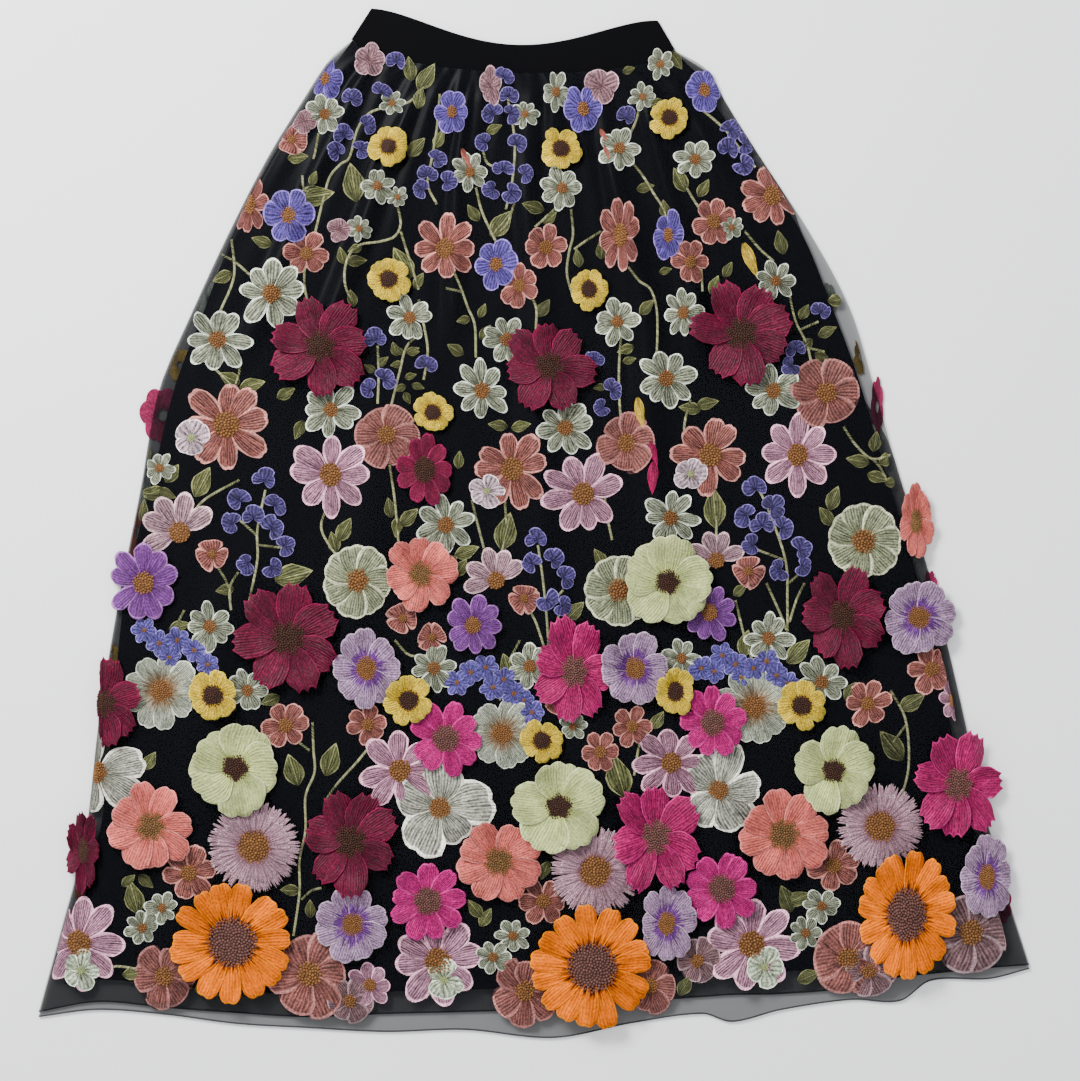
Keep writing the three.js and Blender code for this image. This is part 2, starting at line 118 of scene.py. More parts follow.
def read(table, at, column):
    """A column of a table at places between its rows, along a smooth curve through them."""
    keys, values = table[:, 0], table[:, column]
    low = np.maximum(np.arange(len(keys)) - 1, 0)
    high = np.minimum(np.arange(len(keys)) + 1, len(keys) - 1)
    slopes = (values[high] - values[low]) / (keys[high] - keys[low])
    at = np.clip(at, 0, 1)
    row = np.clip(np.searchsorted(keys, at, side="left") - 1, 0, len(keys) - 2)
    span = keys[row + 1] - keys[row]
    s = (at - keys[row]) / span
    ends = values[row] + (values[row + 1] - values[row]) * s * s * (3 - 2 * s)
    return ends + span * s * (1 - s) * (slopes[row] * (1 - s) - slopes[row + 1] * s)


def seam_y(across):
    return SEAM_TOP - 10 * across - 28 * np.clip(4 * across * (1 - across), 0, 1) ** 0.6


def plan_x(across, along):
    left = read(LEVELS, along, 1)
    return left + (read(LEVELS, along, 2) - left) * across


def width_at(along):
    return read(LEVELS, along, 2) - read(LEVELS, along, 1)


def fold_rise(across, along):
    waist = np.clip(along / 0.03, 0, 1) * np.exp(-np.maximum(0, along - 0.03) / 0.09)
    uneven = 0.75 + 0.25 * np.sin(across * 23)
    rise = 4.5 * waist * uneven * (0.5 - 0.5 * np.cos(2 * math.pi * 16 * across))
    for start, end, near, far, high, wide in FOLDS:
        share = (along - start) / (end - start)
        middle = near + (far - near) * share
        spread = wide * (0.55 + 0.45 * np.clip(along * 3, 0, 1)) / width_at(along)
        strength = smooth(np.minimum(share, 1 - share) * 5) * (share > 0) * (share < 1)
        ridge = high * strength * smooth(1 - np.abs(across - middle) / spread)
        rise = np.maximum(rise, ridge) + 0.3 * np.minimum(rise, ridge)
    return rise


def loft(from_side):
    return 1.6 * smooth(from_side / 60)


def front_point(across, along):
    """The front panel's upper face at shares of its width and length, in millimetres."""
    from_side = np.minimum(across, 1 - across) * width_at(along)
    shoulder = smooth(from_side / 6) + (1 - smooth(from_side / 6)) * (1 - smooth(along / 0.04))
    hem = read(HEMS, across, 1)
    top = seam_y(across) - GAP
    rise = fold_rise(across, along) * smooth(from_side / 24) + loft(from_side - 5)
    fine = 0.35 * np.sin(across * 150 + 7 * np.sin(along * 5)) * np.exp(-along * 2.2)
    fine = (fine + 0.25 * np.sin(across * 61 + along * 19)) * smooth(from_side / 20)
    high = 3.0 + (ORGANZA_TOP - 3.0) * shoulder + rise + fine
    foot = smooth((along - 0.985) / 0.015)
    high = high + (1.6 - high) * foot
    return np.stack([plan_x(across, along), top + (hem - top) * along, high], axis=-1)


def grid_mesh(name, points):
    """A mesh from a grid of points in millimetres, faces up."""
    rows, columns = points.shape[:2]
    index = np.arange(rows * columns).reshape(rows, columns)
    corners = [index[:-1, :-1], index[1:, :-1], index[1:, 1:], index[:-1, 1:]]
    faces = np.stack(corners, axis=-1).reshape(-1, 4)
    mesh = bpy.data.meshes.new(name)
    mesh.from_pydata((points.reshape(-1, 3) * MM).tolist(), [], faces.tolist())
    layer = mesh.uv_layers.new(name="cloth")
    across, along = np.meshgrid(np.linspace(0, 1, columns), np.linspace(0, 1, rows))
    flat = np.stack([across, along], axis=-1).reshape(-1, 2)
    layer.data.foreach_set("uv", flat[faces.reshape(-1)].ravel())
    mesh.polygons.foreach_set("use_smooth", [True] * len(mesh.polygons))
    piece = bpy.data.objects.new(name, mesh)
    bpy.context.scene.collection.objects.link(piece)
    return piece


def cloth_material(name, colour, roughness, alpha=1.0, sheen=0.3, weave=1400.0, bump_strength=0.25):
    material = bpy.data.materials.new(name)
    material.use_nodes = True
    tree = material.node_tree
    shader = tree.nodes["Principled BSDF"]
    shader.inputs["Base Color"].default_value = (*colour, 1)
    shader.inputs["Roughness"].default_value = roughness
    shader.inputs["Alpha"].default_value = alpha
    shader.inputs["Sheen Weight"].default_value = sheen
    shader.inputs["Sheen Roughness"].default_value = 0.35
    place = tree.nodes.new("ShaderNodeTexCoord")
    noise = tree.nodes.new("ShaderNodeTexNoise")
    noise.inputs["Scale"].default_value = weave
    noise.inputs["Detail"].default_value = 3
    bump = tree.nodes.new("ShaderNodeBump")
    bump.inputs["Strength"].default_value = bump_strength
    bump.inputs["Distance"].default_value = 0.0002
    tree.links.new(place.outputs["Object"], noise.inputs["Vector"])
    tree.links.new(noise.outputs["Fac"], bump.inputs["Height"])
    tree.links.new(bump.outputs["Normal"], shader.inputs["Normal"])
    return material


across, along = np.meshgrid(np.linspace(0, 1, 241), np.linspace(0, 1, 151) ** 1.15)
organza_front = grid_mesh("organza_front", front_point(across, along))
organza_black = cloth_material(
    "organza", (0.0036, 0.0040, 0.0056), 0.34, alpha=0.62, sheen=0.0, bump_strength=0.0
)
organza_black.node_tree.nodes["Principled BSDF"].inputs["Specular IOR Level"].default_value = 0.045
organza_front.data.materials.append(organza_black)

across, along = np.meshgrid(np.linspace(0, 1, 49), np.linspace(0, 1, 41))
hem_y = read(HEMS, across, 2)
back_y = seam_y(across) - GAP + (hem_y - seam_y(across) + GAP) * along
folded_in = 22 * np.exp(-(((along - 0.30) / 0.10) ** 4))  # at the right side the back is narrower
back_x = plan_x(across, along) - folded_in * across
back = np.stack([back_x, back_y, np.full_like(along, BACK_TOP)], axis=-1)
organza_back = grid_mesh("organza_back", back)
organza_back.data.materials.append(organza_black)

for cloth, node in ((organza_front, "skirt_front"), (organza_back, "skirt_back")):
    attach(cloth, "root")
    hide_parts(node)

# Lining, front and back: a plain black skirt inside the organza, narrower at the sides and shorter at
# the hem, sewn into the same waist seam. It is what makes the flowers stand out against black.
lining_black = cloth_material("lining", (0.0015, 0.0013, 0.002), 0.8, sheen=0.0, bump_strength=0.05)
lining_black.node_tree.nodes["Principled BSDF"].inputs["Specular IOR Level"].default_value = 0.02


def lining_points(share, along, height):
    left_tuck = read(LEVELS, along, 3) / width_at(along)
    right_tuck = read(LEVELS, along, 4) / width_at(along)
    across = left_tuck + (1 - left_tuck - right_tuck) * share
    hem = read(HEMS, across, 2) + 22
    top = seam_y(across) - GAP
    return np.stack([plan_x(across, along), top + (hem - top) * along, height], axis=-1)


share, along = np.meshgrid(np.linspace(0, 1, 121), np.linspace(0, 1, 101))
from_side = np.minimum(share, 1 - share) * width_at(along)
wave = 0.3 * np.sin(share * 47 + 3 * along) * smooth(from_side / 50)
front_height = 4.35 + 0.8 * loft(from_side) + wave
back_height = np.full_like(along, 2.8)
lining_front = grid_mesh("lining_front_cloth", lining_points(share, along, front_height))
lining_back = grid_mesh("lining_back_cloth", lining_points(share, along, back_height))
for cloth, node in ((lining_front, "lining_front"), (lining_back, "lining_back")):
    cloth.data.materials.append(lining_black)
    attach(cloth, "root")
    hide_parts(node)

# Rolled hems: the narrow rolled edges of the front and back organza, each a fine dark roll along the
# cloth's last threads, sewn down all the way round.
ROLL_HEIGHT = 1.9
ROLL_RADIUS = 0.9
hem_black = cloth_material("hem_roll", (0.01, 0.01, 0.012), 0.6)
across = np.linspace(0, 1, 260)
for name, column in (("front_hem_roll", 1), ("back_hem_roll", 2)):
    height = np.full_like(across, ROLL_HEIGHT)
    middle = np.stack([plan_x(across, 1.0), read(HEMS, across, column), height], axis=-1)
    ring = []
    for turn in np.linspace(0, 2 * math.pi, 7):
        ring.append(middle + np.array([0, -ROLL_RADIUS * math.cos(turn), ROLL_RADIUS * math.sin(turn)]))
    roll = grid_mesh(name, np.stack(ring))
    roll.data.materials.append(hem_black)
    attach(roll, "root")

# Waistband: a ring of smooth black elastic about 31 mm high, pressed flat, its ends folded round and
# its lower edge sewn over the gathers. Fine ribs run along it.
BAND_LEFT, BAND_WIDTH = -161, 283
BAND_TOP, BAND_DROP, BAND_DIP = 514, 12, 30
FACE_HEIGHT = 3.9
END_RADIUS = 1.9
rounds = []
steps = np.linspace(0, 1, 97)
for up in np.linspace(0, 1, 17):
    bulge = 0.25 * math.sin(math.pi * up)
    dip = BAND_DIP * np.clip(4 * steps * (1 - steps), 0, 1) ** 1.8
    low_x, low_y = plan_x(steps, 0.0), seam_y(steps)
    x = low_x + ((BAND_LEFT + BAND_WIDTH * steps) - low_x) * up
    y = low_y + ((BAND_TOP - BAND_DROP * steps - dip) - low_y) * up
    front = np.stack([x, y, np.full_like(x, FACE_HEIGHT + bulge)], axis=-1)
    back_face = np.stack([x, y, np.full_like(x, 0.1)], axis=-1)[::-1]
    turns = np.linspace(math.pi / 2, -math.pi / 2, 9)[1:-1]
    round_end = [(END_RADIUS * math.cos(t), END_RADIUS * math.sin(t)) for t in turns]
    right = [front[-1] * [1, 1, 0] + [out, 0, 2 + up_by] for out, up_by in round_end]
    left = [front[0] * [1, 1, 0] + [-out, 0, 2 - up_by] for out, up_by in round_end]
    rounds.append(np.concatenate([front, right, back_face, left, front[:1]]))
waistband = grid_mesh("elastic_band", np.stack(rounds)[::-1])
elastic = cloth_material("elastic", (0.0015, 0.0015, 0.002), 0.75, sheen=0.01, weave=900)
elastic.node_tree.nodes["Principled BSDF"].inputs["Specular IOR Level"].default_value = 0.04
tree = elastic.node_tree
coords = tree.nodes.new("ShaderNodeUVMap")
coords.uv_map = "cloth"
ribs = tree.nodes.new("ShaderNodeTexWave")
ribs.bands_direction = "Y"
ribs.inputs["Scale"].default_value = 7.5
rib_bump = tree.nodes.new("ShaderNodeBump")
rib_bump.inputs["Strength"].default_value = 0.3
rib_bump.inputs["Distance"].default_value = 0.0004
tree.links.new(coords.outputs["UV"], ribs.inputs["Vector"])
tree.links.new(ribs.outputs["Fac"], rib_bump.inputs["Height"])
tree.links.new(tree.nodes["Bump"].outputs["Normal"], rib_bump.inputs["Normal"])
tree.links.new(rib_bump.outputs["Normal"], tree.nodes["Principled BSDF"].inputs["Normal"])
waistband.data.materials.append(elastic)
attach(waistband, "root")
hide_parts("waistband")

# Embroidery: flowers, stems and leaves worked in shiny thread on the front organza. A petal is a padded
# tongue of threads that run from heart to tip, and a heart is a low dome covered with knots.
# Places are millimetres across and down from a corner to the upper left of the frame's origin.
CORNER_X, CORNER_Y = 534.0, 523.0
GOLDEN_ANGLE = 2.39996


def organza_height(x, y):
    """How high the front organza's upper face is at places in the frame, in millimetres."""
    across = np.full_like(x, 0.5)
    along = np.clip((SEAM_TOP - y) / LENGTH, 0, 1)
    for _ in range(14):
        top = seam_y(across) - GAP
        along = np.clip((y - top) / (read(HEMS, across, 1) - top), 0, 1)
        left = read(LEVELS, along, 1)
        across = np.clip((x - left) / (read(LEVELS, along, 2) - left), 0, 1)
    return front_point(across, along)[..., 2]


def kept_on_cloth(x, y):
    """Draws places that would lie past a side of the skirt in to its edge, closer and closer together."""
    along = np.clip((SEAM_TOP - 3 - y) / (LENGTH - 4), 0, 1)
    left, right = read(LEVELS, along, 1) + 1, read(LEVELS, along, 2) - 1
    inside = np.minimum(x - left, right - x)
    drawn = np.where(inside < 6, 6 * np.exp(np.clip((inside - 6) / 6, -4, 0)), inside)
    return np.where(x - left < right - x, left + drawn, right - drawn)


def new_work():
    return {"points": [], "faces": [], "uv": [], "tone": [], "count": 0}


def add_grid(work, points, tone, u=None, v=None):
    """Adds a grid of points, shaped rows by columns, with its thread coordinates."""
    rows, columns = points.shape[:2]
    index = work["count"] + np.arange(rows * columns).reshape(rows, columns)
    faces = np.stack([index[:-1, :-1], index[1:, :-1], index[1:, 1:], index[:-1, 1:]], axis=-1)
    if u is None:
        u, v = np.meshgrid(np.linspace(0, 1, columns), np.linspace(0, 1, rows))
    work["points"].append(points.reshape(-1, 3))
    work["faces"].append(faces.reshape(-1, 4))
    work["uv"].append(np.stack([u, v], axis=-1).reshape(-1, 2))
    work["tone"].append(np.full(rows * columns, tone))
    work["count"] += rows * columns


def make_piece(name, work, material, thick=0.0):
    """One mesh object of all the grids in work, riding on the skirt."""
    points = np.concatenate(work["points"]) * MM
    faces = np.concatenate(work["faces"])
    mesh = bpy.data.meshes.new(name)
    mesh.from_pydata(points.tolist(), [], faces.tolist())
    layer = mesh.uv_layers.new(name="thread")
    layer.data.foreach_set("uv", np.concatenate(work["uv"])[faces.reshape(-1)].ravel())
    tone = mesh.attributes.new("tone", "FLOAT", "POINT")
    tone.data.foreach_set("value", np.concatenate(work["tone"]))
    mesh.polygons.foreach_set("use_smooth", [True] * len(mesh.polygons))
    mesh.materials.append(material)
    piece = bpy.data.objects.new(name, mesh)
    bpy.context.scene.collection.objects.link(piece)
    if thick:
        solid = piece.modifiers.new("thick", "SOLIDIFY")
        solid.thickness = thick * MM
        solid.offset = -1
    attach(piece, "root")
    return piece


def thread_material(name, heart, petal, edge, rows=16, gaps=0.5, heart_end=0.0, petal_start=0.4,
                    edge_at=0.88, shine=0.5, gloss=0.2, vein=0.0, glints=0.8):
    """Thread laid in rows along a petal: heart is its colour at the base, edge that of its outline."""
    material = bpy.data.materials.new(name)
    material.use_nodes = True
    nodes, links = material.node_tree.nodes, material.node_tree.links
    shader = nodes["Principled BSDF"]

    def math_node(operation, first, second=None):
        node = nodes.new("ShaderNodeMath")
        node.operation = operation
        for socket, value in zip(node.inputs, (first, second)):
            if isinstance(value, (int, float)):
                socket.default_value = value
            elif value is not None:
                links.new(value, socket)
        return node.outputs[0]

    def mixed(factor, first, second, blend="MIX"):
        node = nodes.new("ShaderNodeMix")
        node.data_type = "RGBA"
        node.blend_type = blend
        for socket, value in ((node.inputs[0], factor), (node.inputs[6], first), (node.inputs[7], second)):
            if isinstance(value, tuple):
                socket.default_value = (*value, 1)
            elif isinstance(value, (int, float)):
                socket.default_value = value
            else:
                links.new(value, socket)
        return node.outputs[2]

    def ranged(value, low, high):
        node = nodes.new("ShaderNodeMapRange")
        node.inputs["From Min"].default_value = low
        node.inputs["From Max"].default_value = high
        links.new(value, node.inputs["Value"])
        return node.outputs["Result"]

    def times(first, second):
        return math_node("MULTIPLY", first, second)

    def plus(first, second):
        return math_node("ADD", first, second)

    coords = nodes.new("ShaderNodeUVMap")
    coords.uv_map = "thread"
    split = nodes.new("ShaderNodeSeparateXYZ")
    links.new(coords.outputs["UV"], split.inputs["Vector"])
    u, v = split.outputs["X"], split.outputs["Y"]
    attribute = nodes.new("ShaderNodeAttribute")
    attribute.attribute_name = "tone"
    tone = attribute.outputs["Fac"]

    def noise(across, along, seed, detail):
        """Noise with this many cells across and along a petal, different in each one."""
        place = nodes.new("ShaderNodeCombineXYZ")
        for value, socket in zip((times(u, across), times(v, along), times(tone, seed)), place.inputs):
            links.new(value, socket)
        texture = nodes.new("ShaderNodeTexNoise")
        texture.inputs["Scale"].default_value = 1.0
        texture.inputs["Detail"].default_value = detail
        links.new(place.outputs["Vector"], texture.inputs["Vector"])
        return texture.outputs["Fac"]

    # Streaks are thread that lies unevenly, drawn out along the petal
    streak = ranged(noise(rows * 1.7, 2.6, 91.0, 3), 0.36, 0.64)
    wave = math_node("SINE", plus(times(u, rows * 6.283), times(streak, 1.6)))
    ridge = plus(times(wave, 0.3), plus(times(streak, 0.5), 0.25))

    # Glints: short stitches painted lighter, as highlights, or darker, as shade; the noise also raises the
    # bump
    glint = ranged(noise(rows * 1.4, 15.0, 57.0, 2), 0.34, 0.66)
    sparkle = plus(times(glint, glints), 1 - glints / 2)

    # Folds: painted light and shade, broad patches that stand in for where the padded petal rises and dips
    fold_shade = ranged(noise(2.2, 1.6, 33.0, 2), 0.35, 0.65)
    shade = plus(times(fold_shade, 0.4), 0.78)

    # The rim is the paler thread that outlines the petal, with a vein down the middle of a leaf
    reach = plus(v, times(math_node("SUBTRACT", streak, 0.5), 0.3))
    colour = mixed(ranged(reach, heart_end, petal_start), heart, petal)
    side = math_node("ABSOLUTE", math_node("SUBTRACT", times(u, 2.0), 1.0))
    tip_at = (1 + edge_at) / 2
    rim = math_node("MAXIMUM", ranged(side, edge_at - 0.06, edge_at), ranged(v, tip_at - 0.03, tip_at))
    if vein:
        rim = math_node("MAXIMUM", rim, ranged(side, vein, vein / 2))
    dark = math_node("SUBTRACT", 1.0, times(math_node("SUBTRACT", 1.0, ridge), gaps))
    dark = math_node("MAXIMUM", dark, times(rim, 0.92))
    colour = mixed(rim, colour, edge)
    grey = nodes.new("ShaderNodeCombineColor")
    level = times(times(dark, sparkle), times(shade, tone))
    for socket in grey.inputs:
        links.new(level, socket)
    colour = mixed(1.0, colour, grey.outputs["Color"], "MULTIPLY")
    links.new(colour, shader.inputs["Base Color"])
    shader.inputs["Roughness"].default_value = shine
    shader.inputs["Specular IOR Level"].default_value = gloss
    bump = nodes.new("ShaderNodeBump")
    bump.inputs["Strength"].default_value = 0.9
    bump.inputs["Distance"].default_value = 0.001
    height = plus(plus(ridge, times(rim, 0.6)), times(glint, 0.5))
    links.new(height, bump.inputs["Height"])
    links.new(bump.outputs["Normal"], shader.inputs["Normal"])
    return material


def petal(length, half, base=0.3, round_off=0.3, notch=0.0, teeth=0.0, points=5, cells=(8, 8), point=2.4):
    """Distances along and across one petal, as grids, and the shares they are at."""
    s = np.linspace(0, 1, cells[0] + 1)[:, None]
    t = np.linspace(-1, 1, cells[1] + 1)[None, :]
    end = 1 - round_off * np.abs(t) ** point
    end = end * (1 - notch * np.exp(-((t / 0.25) ** 2)))
    scallop = np.abs(np.sin(points / 2 * math.pi * (t + 1)))
    end = end * (1 - (teeth * scallop if teeth > 0 else -teeth * (1 - scallop)))
    grow = base + (1 - base) * np.sin(np.minimum(1, s / 0.72) * math.pi / 2)
    return length * s * end, half * grow * t * np.ones_like(s), s * np.ones_like(t), t * np.ones_like(s)


def add_flower(work, x, y, radius, petals, turn=0.0, start=0.2, width=0.9, span=360.0, squeeze=(1, 1),
               height=organza_height, lift=0.5, puff=0.8, tilt=0.0, ruffle=0.0, uneven=0.05,
               bright=1.0, wraps=True, **shape):
    """A ring of petals laid on a surface. width is the petal's width over its share of the ring, and
    wraps says that it is sewn flat, so what would lie past a side of the skirt is drawn in."""
    x, y = x - CORNER_X, CORNER_Y - y
    length = radius * (1 - start)
    for number in range(petals):
        share = number / petals if span == 360 else number / max(1, petals - 1) - 0.5 * (petals > 1)
        angle = math.radians(turn + span * share + random.uniform(-1, 1) * (3 + 35 * uneven))
        step = math.radians(span / (petals if span == 360 else petals - 0.5))
        size = 1 + random.uniform(-uneven, uneven)
        half = radius * 0.72 * math.tan(min(step, 1.9) / 2) * width * (1 + random.uniform(-uneven, uneven))
        along, sideways, s, t = petal(length * size, half, **shape)
        sideways = sideways + random.uniform(-1, 1) * uneven * 0.8 * length * s**2
        along = along + start * radius
        px = along * math.cos(angle) - sideways * math.sin(angle)
        py = along * math.sin(angle) + sideways * math.cos(angle)
        px = x + np.where(px < 0, px * squeeze[0], px * squeeze[1])
        py = y + py
        if wraps:
            px = kept_on_cloth(px, py)
        pad = puff * np.sqrt(np.clip(1 - t**2, 0, 1)) * np.sin(math.pi * np.clip(s, 0.04, 0.96)) ** 0.5
        wave = ruffle * s**2 * np.sin(2.4 * t + random.uniform(0, 6)) + 0.25 * (number % 2)
        pz = height(px, py) + lift + pad + tilt * t + wave
        # Painted sheen: petals whose threads lie across the light from the upper left are painted brighter
        shine = 1 + 0.16 * math.cos(2 * (angle - math.radians(40)))
        tone = random.uniform(0.88, 1.08) * shine * bright
        add_grid(work, np.stack([px, py, pz], axis=-1)[:, ::-1], tone)


# A small ball for one knot of thread: the twelve corners of an icosahedron and its twenty faces
GOLDEN = (1 + 5**0.5) / 2
KNOT = np.array([(a, b * GOLDEN, 0) for a in (-1, 1) for b in (-1, 1)])
KNOT = np.concatenate([KNOT, KNOT[:, [2, 0, 1]], KNOT[:, [1, 2, 0]]]) / math.hypot(1, GOLDEN)
EDGE = 1.1  # just over an icosahedron's edge, when its corners are 1 from the middle


def outward(i, j, k):
    normal = np.cross(KNOT[j] - KNOT[i], KNOT[k] - KNOT[i])
    return (i, j, k) if np.dot(normal, KNOT[i]) > 0 else (i, k, j)


KNOT_FACES = [
    outward(i, j, k)
    for i, j, k in itertools.combinations(range(12), 3)
    if max(math.dist(KNOT[i], KNOT[j]), math.dist(KNOT[j], KNOT[k]), math.dist(KNOT[i], KNOT[k])) < EDGE
]


def add_heart(work, x, y, radius, dome=1.6, knots=34, squeeze=(1, 1), height=organza_height, lift=1.0,
              bright=1.0):
    """A low dome of knots, set in a spiral from the middle outwards."""
    x, y = x - CORNER_X, CORNER_Y - y
    size = radius * 0.9 / math.sqrt(knots)
    number = np.arange(knots)
    reach = radius * np.sqrt((number + 0.5) / knots)
    angle = number * GOLDEN_ANGLE + random.uniform(0, 6)
    px = reach * np.cos(angle) + rng.uniform(-0.15, 0.15, knots) * size
    py = reach * np.sin(angle) + rng.uniform(-0.15, 0.15, knots) * size
    px = np.where(px < 0, px * squeeze[0], px * squeeze[1])
    if height is organza_height:
        px = kept_on_cloth(x + px, y + py) - x
    pz = height(x + px, y + py) + lift + dome * (1 - (reach / radius) ** 2)
    pz = pz + rng.uniform(-0.2, 0.3, knots) * size
    centres = np.stack([x + px, y + py, pz], axis=-1)
    points = centres[:, None, :] + KNOT[None] * size * rng.uniform(0.85, 1.15, (knots, 1, 1))
    index = work["count"] + np.arange(knots * 12).reshape(knots, 12)
    faces = index[:, np.array(KNOT_FACES)].reshape(-1, 3)
    work["points"].append(points.reshape(-1, 3))
    work["faces"].append(faces)
    work["uv"].append(np.zeros((knots * 12, 2)) + 0.5)
    work["tone"].append(np.repeat(rng.uniform(0.6, 1.25, knots) * bright, 12))
    work["count"] += knots * 12

    # The padding under the knots, so that no petal shows between them; its dark tone is painted shade
    turns = np.arange(12) * math.pi / 6
    share = np.concatenate([[0], np.full(12, 0.6), np.full(12, 1.02)])
    px = radius * share * np.cos(np.concatenate([[0], turns, turns]))
    py = radius * share * np.sin(np.concatenate([[0], turns, turns]))
    px = np.where(px < 0, px * squeeze[0], px * squeeze[1])
    if height is organza_height:
        px = kept_on_cloth(x + px, y + py) - x
    pz = height(x + px, y + py) + lift - 0.1 * size + dome * (1 - share**2)
    faces = [(0, i + 1, (i + 1) % 12 + 1) for i in range(12)]
    for i in range(12):
        inner, next_inner = i + 1, (i + 1) % 12 + 1
        faces += [(inner, inner + 12, next_inner + 12), (inner, next_inner + 12, next_inner)]
    work["points"].append(np.stack([x + px, y + py, pz], axis=-1))
    work["faces"].append(work["count"] + np.array(faces))
    work["uv"].append(np.zeros((25, 2)) + 0.5)
    work["tone"].append(np.full(25, 0.25 * bright))
    work["count"] += 25


def knot_material(name, colour):
    material = bpy.data.materials.new(name)
    material.use_nodes = True
    nodes, links = material.node_tree.nodes, material.node_tree.links
    shader = nodes["Principled BSDF"]
    tone = nodes.new("ShaderNodeAttribute")
    tone.attribute_name = "tone"
    mix = nodes.new("ShaderNodeMix")
    mix.data_type = "RGBA"
    mix.inputs[6].default_value = tuple(c * 0.35 for c in colour) + (1,)
    mix.inputs[7].default_value = tuple(min(1, c * 1.35) for c in colour) + (1,)
    half = nodes.new("ShaderNodeMath")
    half.operation = "MULTIPLY"
    half.inputs[1].default_value = 0.7
    links.new(tone.outputs["Fac"], half.inputs[0])
    links.new(half.outputs[0], mix.inputs[0])
    links.new(mix.outputs[2], shader.inputs["Base Color"])
    shader.inputs["Roughness"].default_value = 0.6
    shader.inputs["Specular IOR Level"].default_value = 0.15
    return material


gold_hearts = new_work()
brown_hearts = new_work()
green_hearts = new_work()

# Stems and leaves: round olive cords of thread that wander between the flowers, and pointed leaves
# stitched either side of a vein, all worked flat on the front organza.
STEMS = [
    # places across and down that each stem passes through
    [(319, 134), (316, 152), (314, 160)],
    [
        (424, 88), (410, 103), (392, 107), (370, 114), (358, 130), (350, 158), (341, 165), (330, 178),
        (323, 203), (314, 240),
    ],
    [(316, 196), (305, 190), (303, 176)],
    [(232, 240), (235, 268), (232, 286), (220, 313)],
    [(305, 268), (305, 286), (308, 302)],
    [
        (397, 203), (401, 224), (395, 237), (381, 242), (363, 245), (352, 253), (346, 268), (346, 286),
        (352, 302),
    ],
    [(401, 232), (410, 261), (419, 290)],
    [(451, 266), (460, 286), (468, 308), (475, 326), (476, 358)],
    [(446, 289), (464, 293)],
    [(440, 95), (437, 130), (432, 160), (428, 185), (437, 205)],
    [(476, 188), (482, 212), (493, 236), (500, 250)],
    [(516, 200), (508, 222), (500, 232)],
    [(505, 88), (512, 120), (515, 150), (512, 185), (506, 210)],
    [(482, 145), (487, 163), (500, 170)],
    [(601, 232), (585, 242), (574, 250)],
    [(571, 210), (573, 235), (569, 253), (567, 275), (574, 300)],
    [(527, 290), (536, 308), (536, 330)],
    [(560, 205), (548, 216), (535, 228)],
    [(632, 163), (643, 177), (654, 195), (665, 213), (666, 232)],
    [(628, 268), (639, 282), (650, 290), (656, 308), (657, 333), (656, 358)],
    [(679, 174), (690, 195), (701, 212)],
    [(701, 268), (702, 292)],
    [(744, 232), (759, 250), (773, 262)],
    [(694, 105), (712, 119), (726, 132), (740, 150), (755, 168)],
    [(789, 296), (795, 322), (806, 344), (812, 368)],
    [(800, 330), (818, 322)],
    [(806, 348), (824, 352)],
    [(419, 300), (424, 325), (428, 352), (424, 380)],
    [(640, 96), (637, 118), (630, 135)],
    [(250, 600), (258, 560), (258, 530), (266, 490)],
    [(258, 545), (285, 548)],
    [(257, 535), (238, 518)],
    [(787, 640), (787, 600), (785, 560), (768, 510), (756, 485)],
    [(786, 585), (806, 568)],
    [(784, 560), (752, 548)],
    [(549, 655), (547, 620), (543, 580), (538, 545)],
    [(524, 602), (535, 620), (544, 646)],
    [(563, 600), (558, 620), (558, 650)],
    [(545, 610), (563, 590)],
    [(390, 465), (395, 500), (399, 545)],
    [(313, 722), (314, 750), (315, 772), (306, 796), (306, 830), (300, 859), (300, 892), (294, 935)],
    [(326, 800), (338, 783), (357, 762), (371, 745)],
    [(302, 899), (312, 890), (322, 887)],
    [(94, 977), (114, 966), (138, 968)],
    [(766, 583), (780, 614), (786, 630)],
    [(804, 583), (796, 600), (789, 622)],
    [(643, 733), (638, 750), (634, 775)],
    [(310, 750), (290, 735)],
    [(890, 690), (905, 720), (908, 765), (900, 800)],
    [(905, 725), (890, 745)],
    [(222, 255), (235, 262), (250, 275)],
    [(205, 360), (225, 378), (238, 392)],
    [(240, 480), (205, 500), (190, 520)],
    [(328, 505), (322, 530), (340, 560)],
    [(505, 500), (506, 530), (500, 560)],
    [(714, 480), (716, 510), (716, 540)],
    [(690, 400), (684, 430), (692, 460)],
    [(843, 427), (856, 446), (872, 459), (890, 455)],
    [(872, 459), (880, 468), (886, 480)],
    [(604, 480), (606, 510), (612, 540)],
    [(422, 333), (407, 347), (400, 372), (391, 408)],
    [(378, 346), (379, 375), (378, 404)],
    [(621, 336), (619, 365), (619, 395), (621, 422)],
    [(239, 360), (240, 372), (236, 384)],
    [(219, 568), (228, 584), (232, 610)],
    [(239, 572), (231, 586), (231, 600)],
    [(472, 500), (478, 525), (484, 548)],
    [(185, 610), (170, 640), (160, 665)],
    [(735, 600), (745, 640), (752, 660)],
    [(520, 640), (508, 665), (500, 700)],
    [(395, 640), (410, 655), (430, 655)],
]
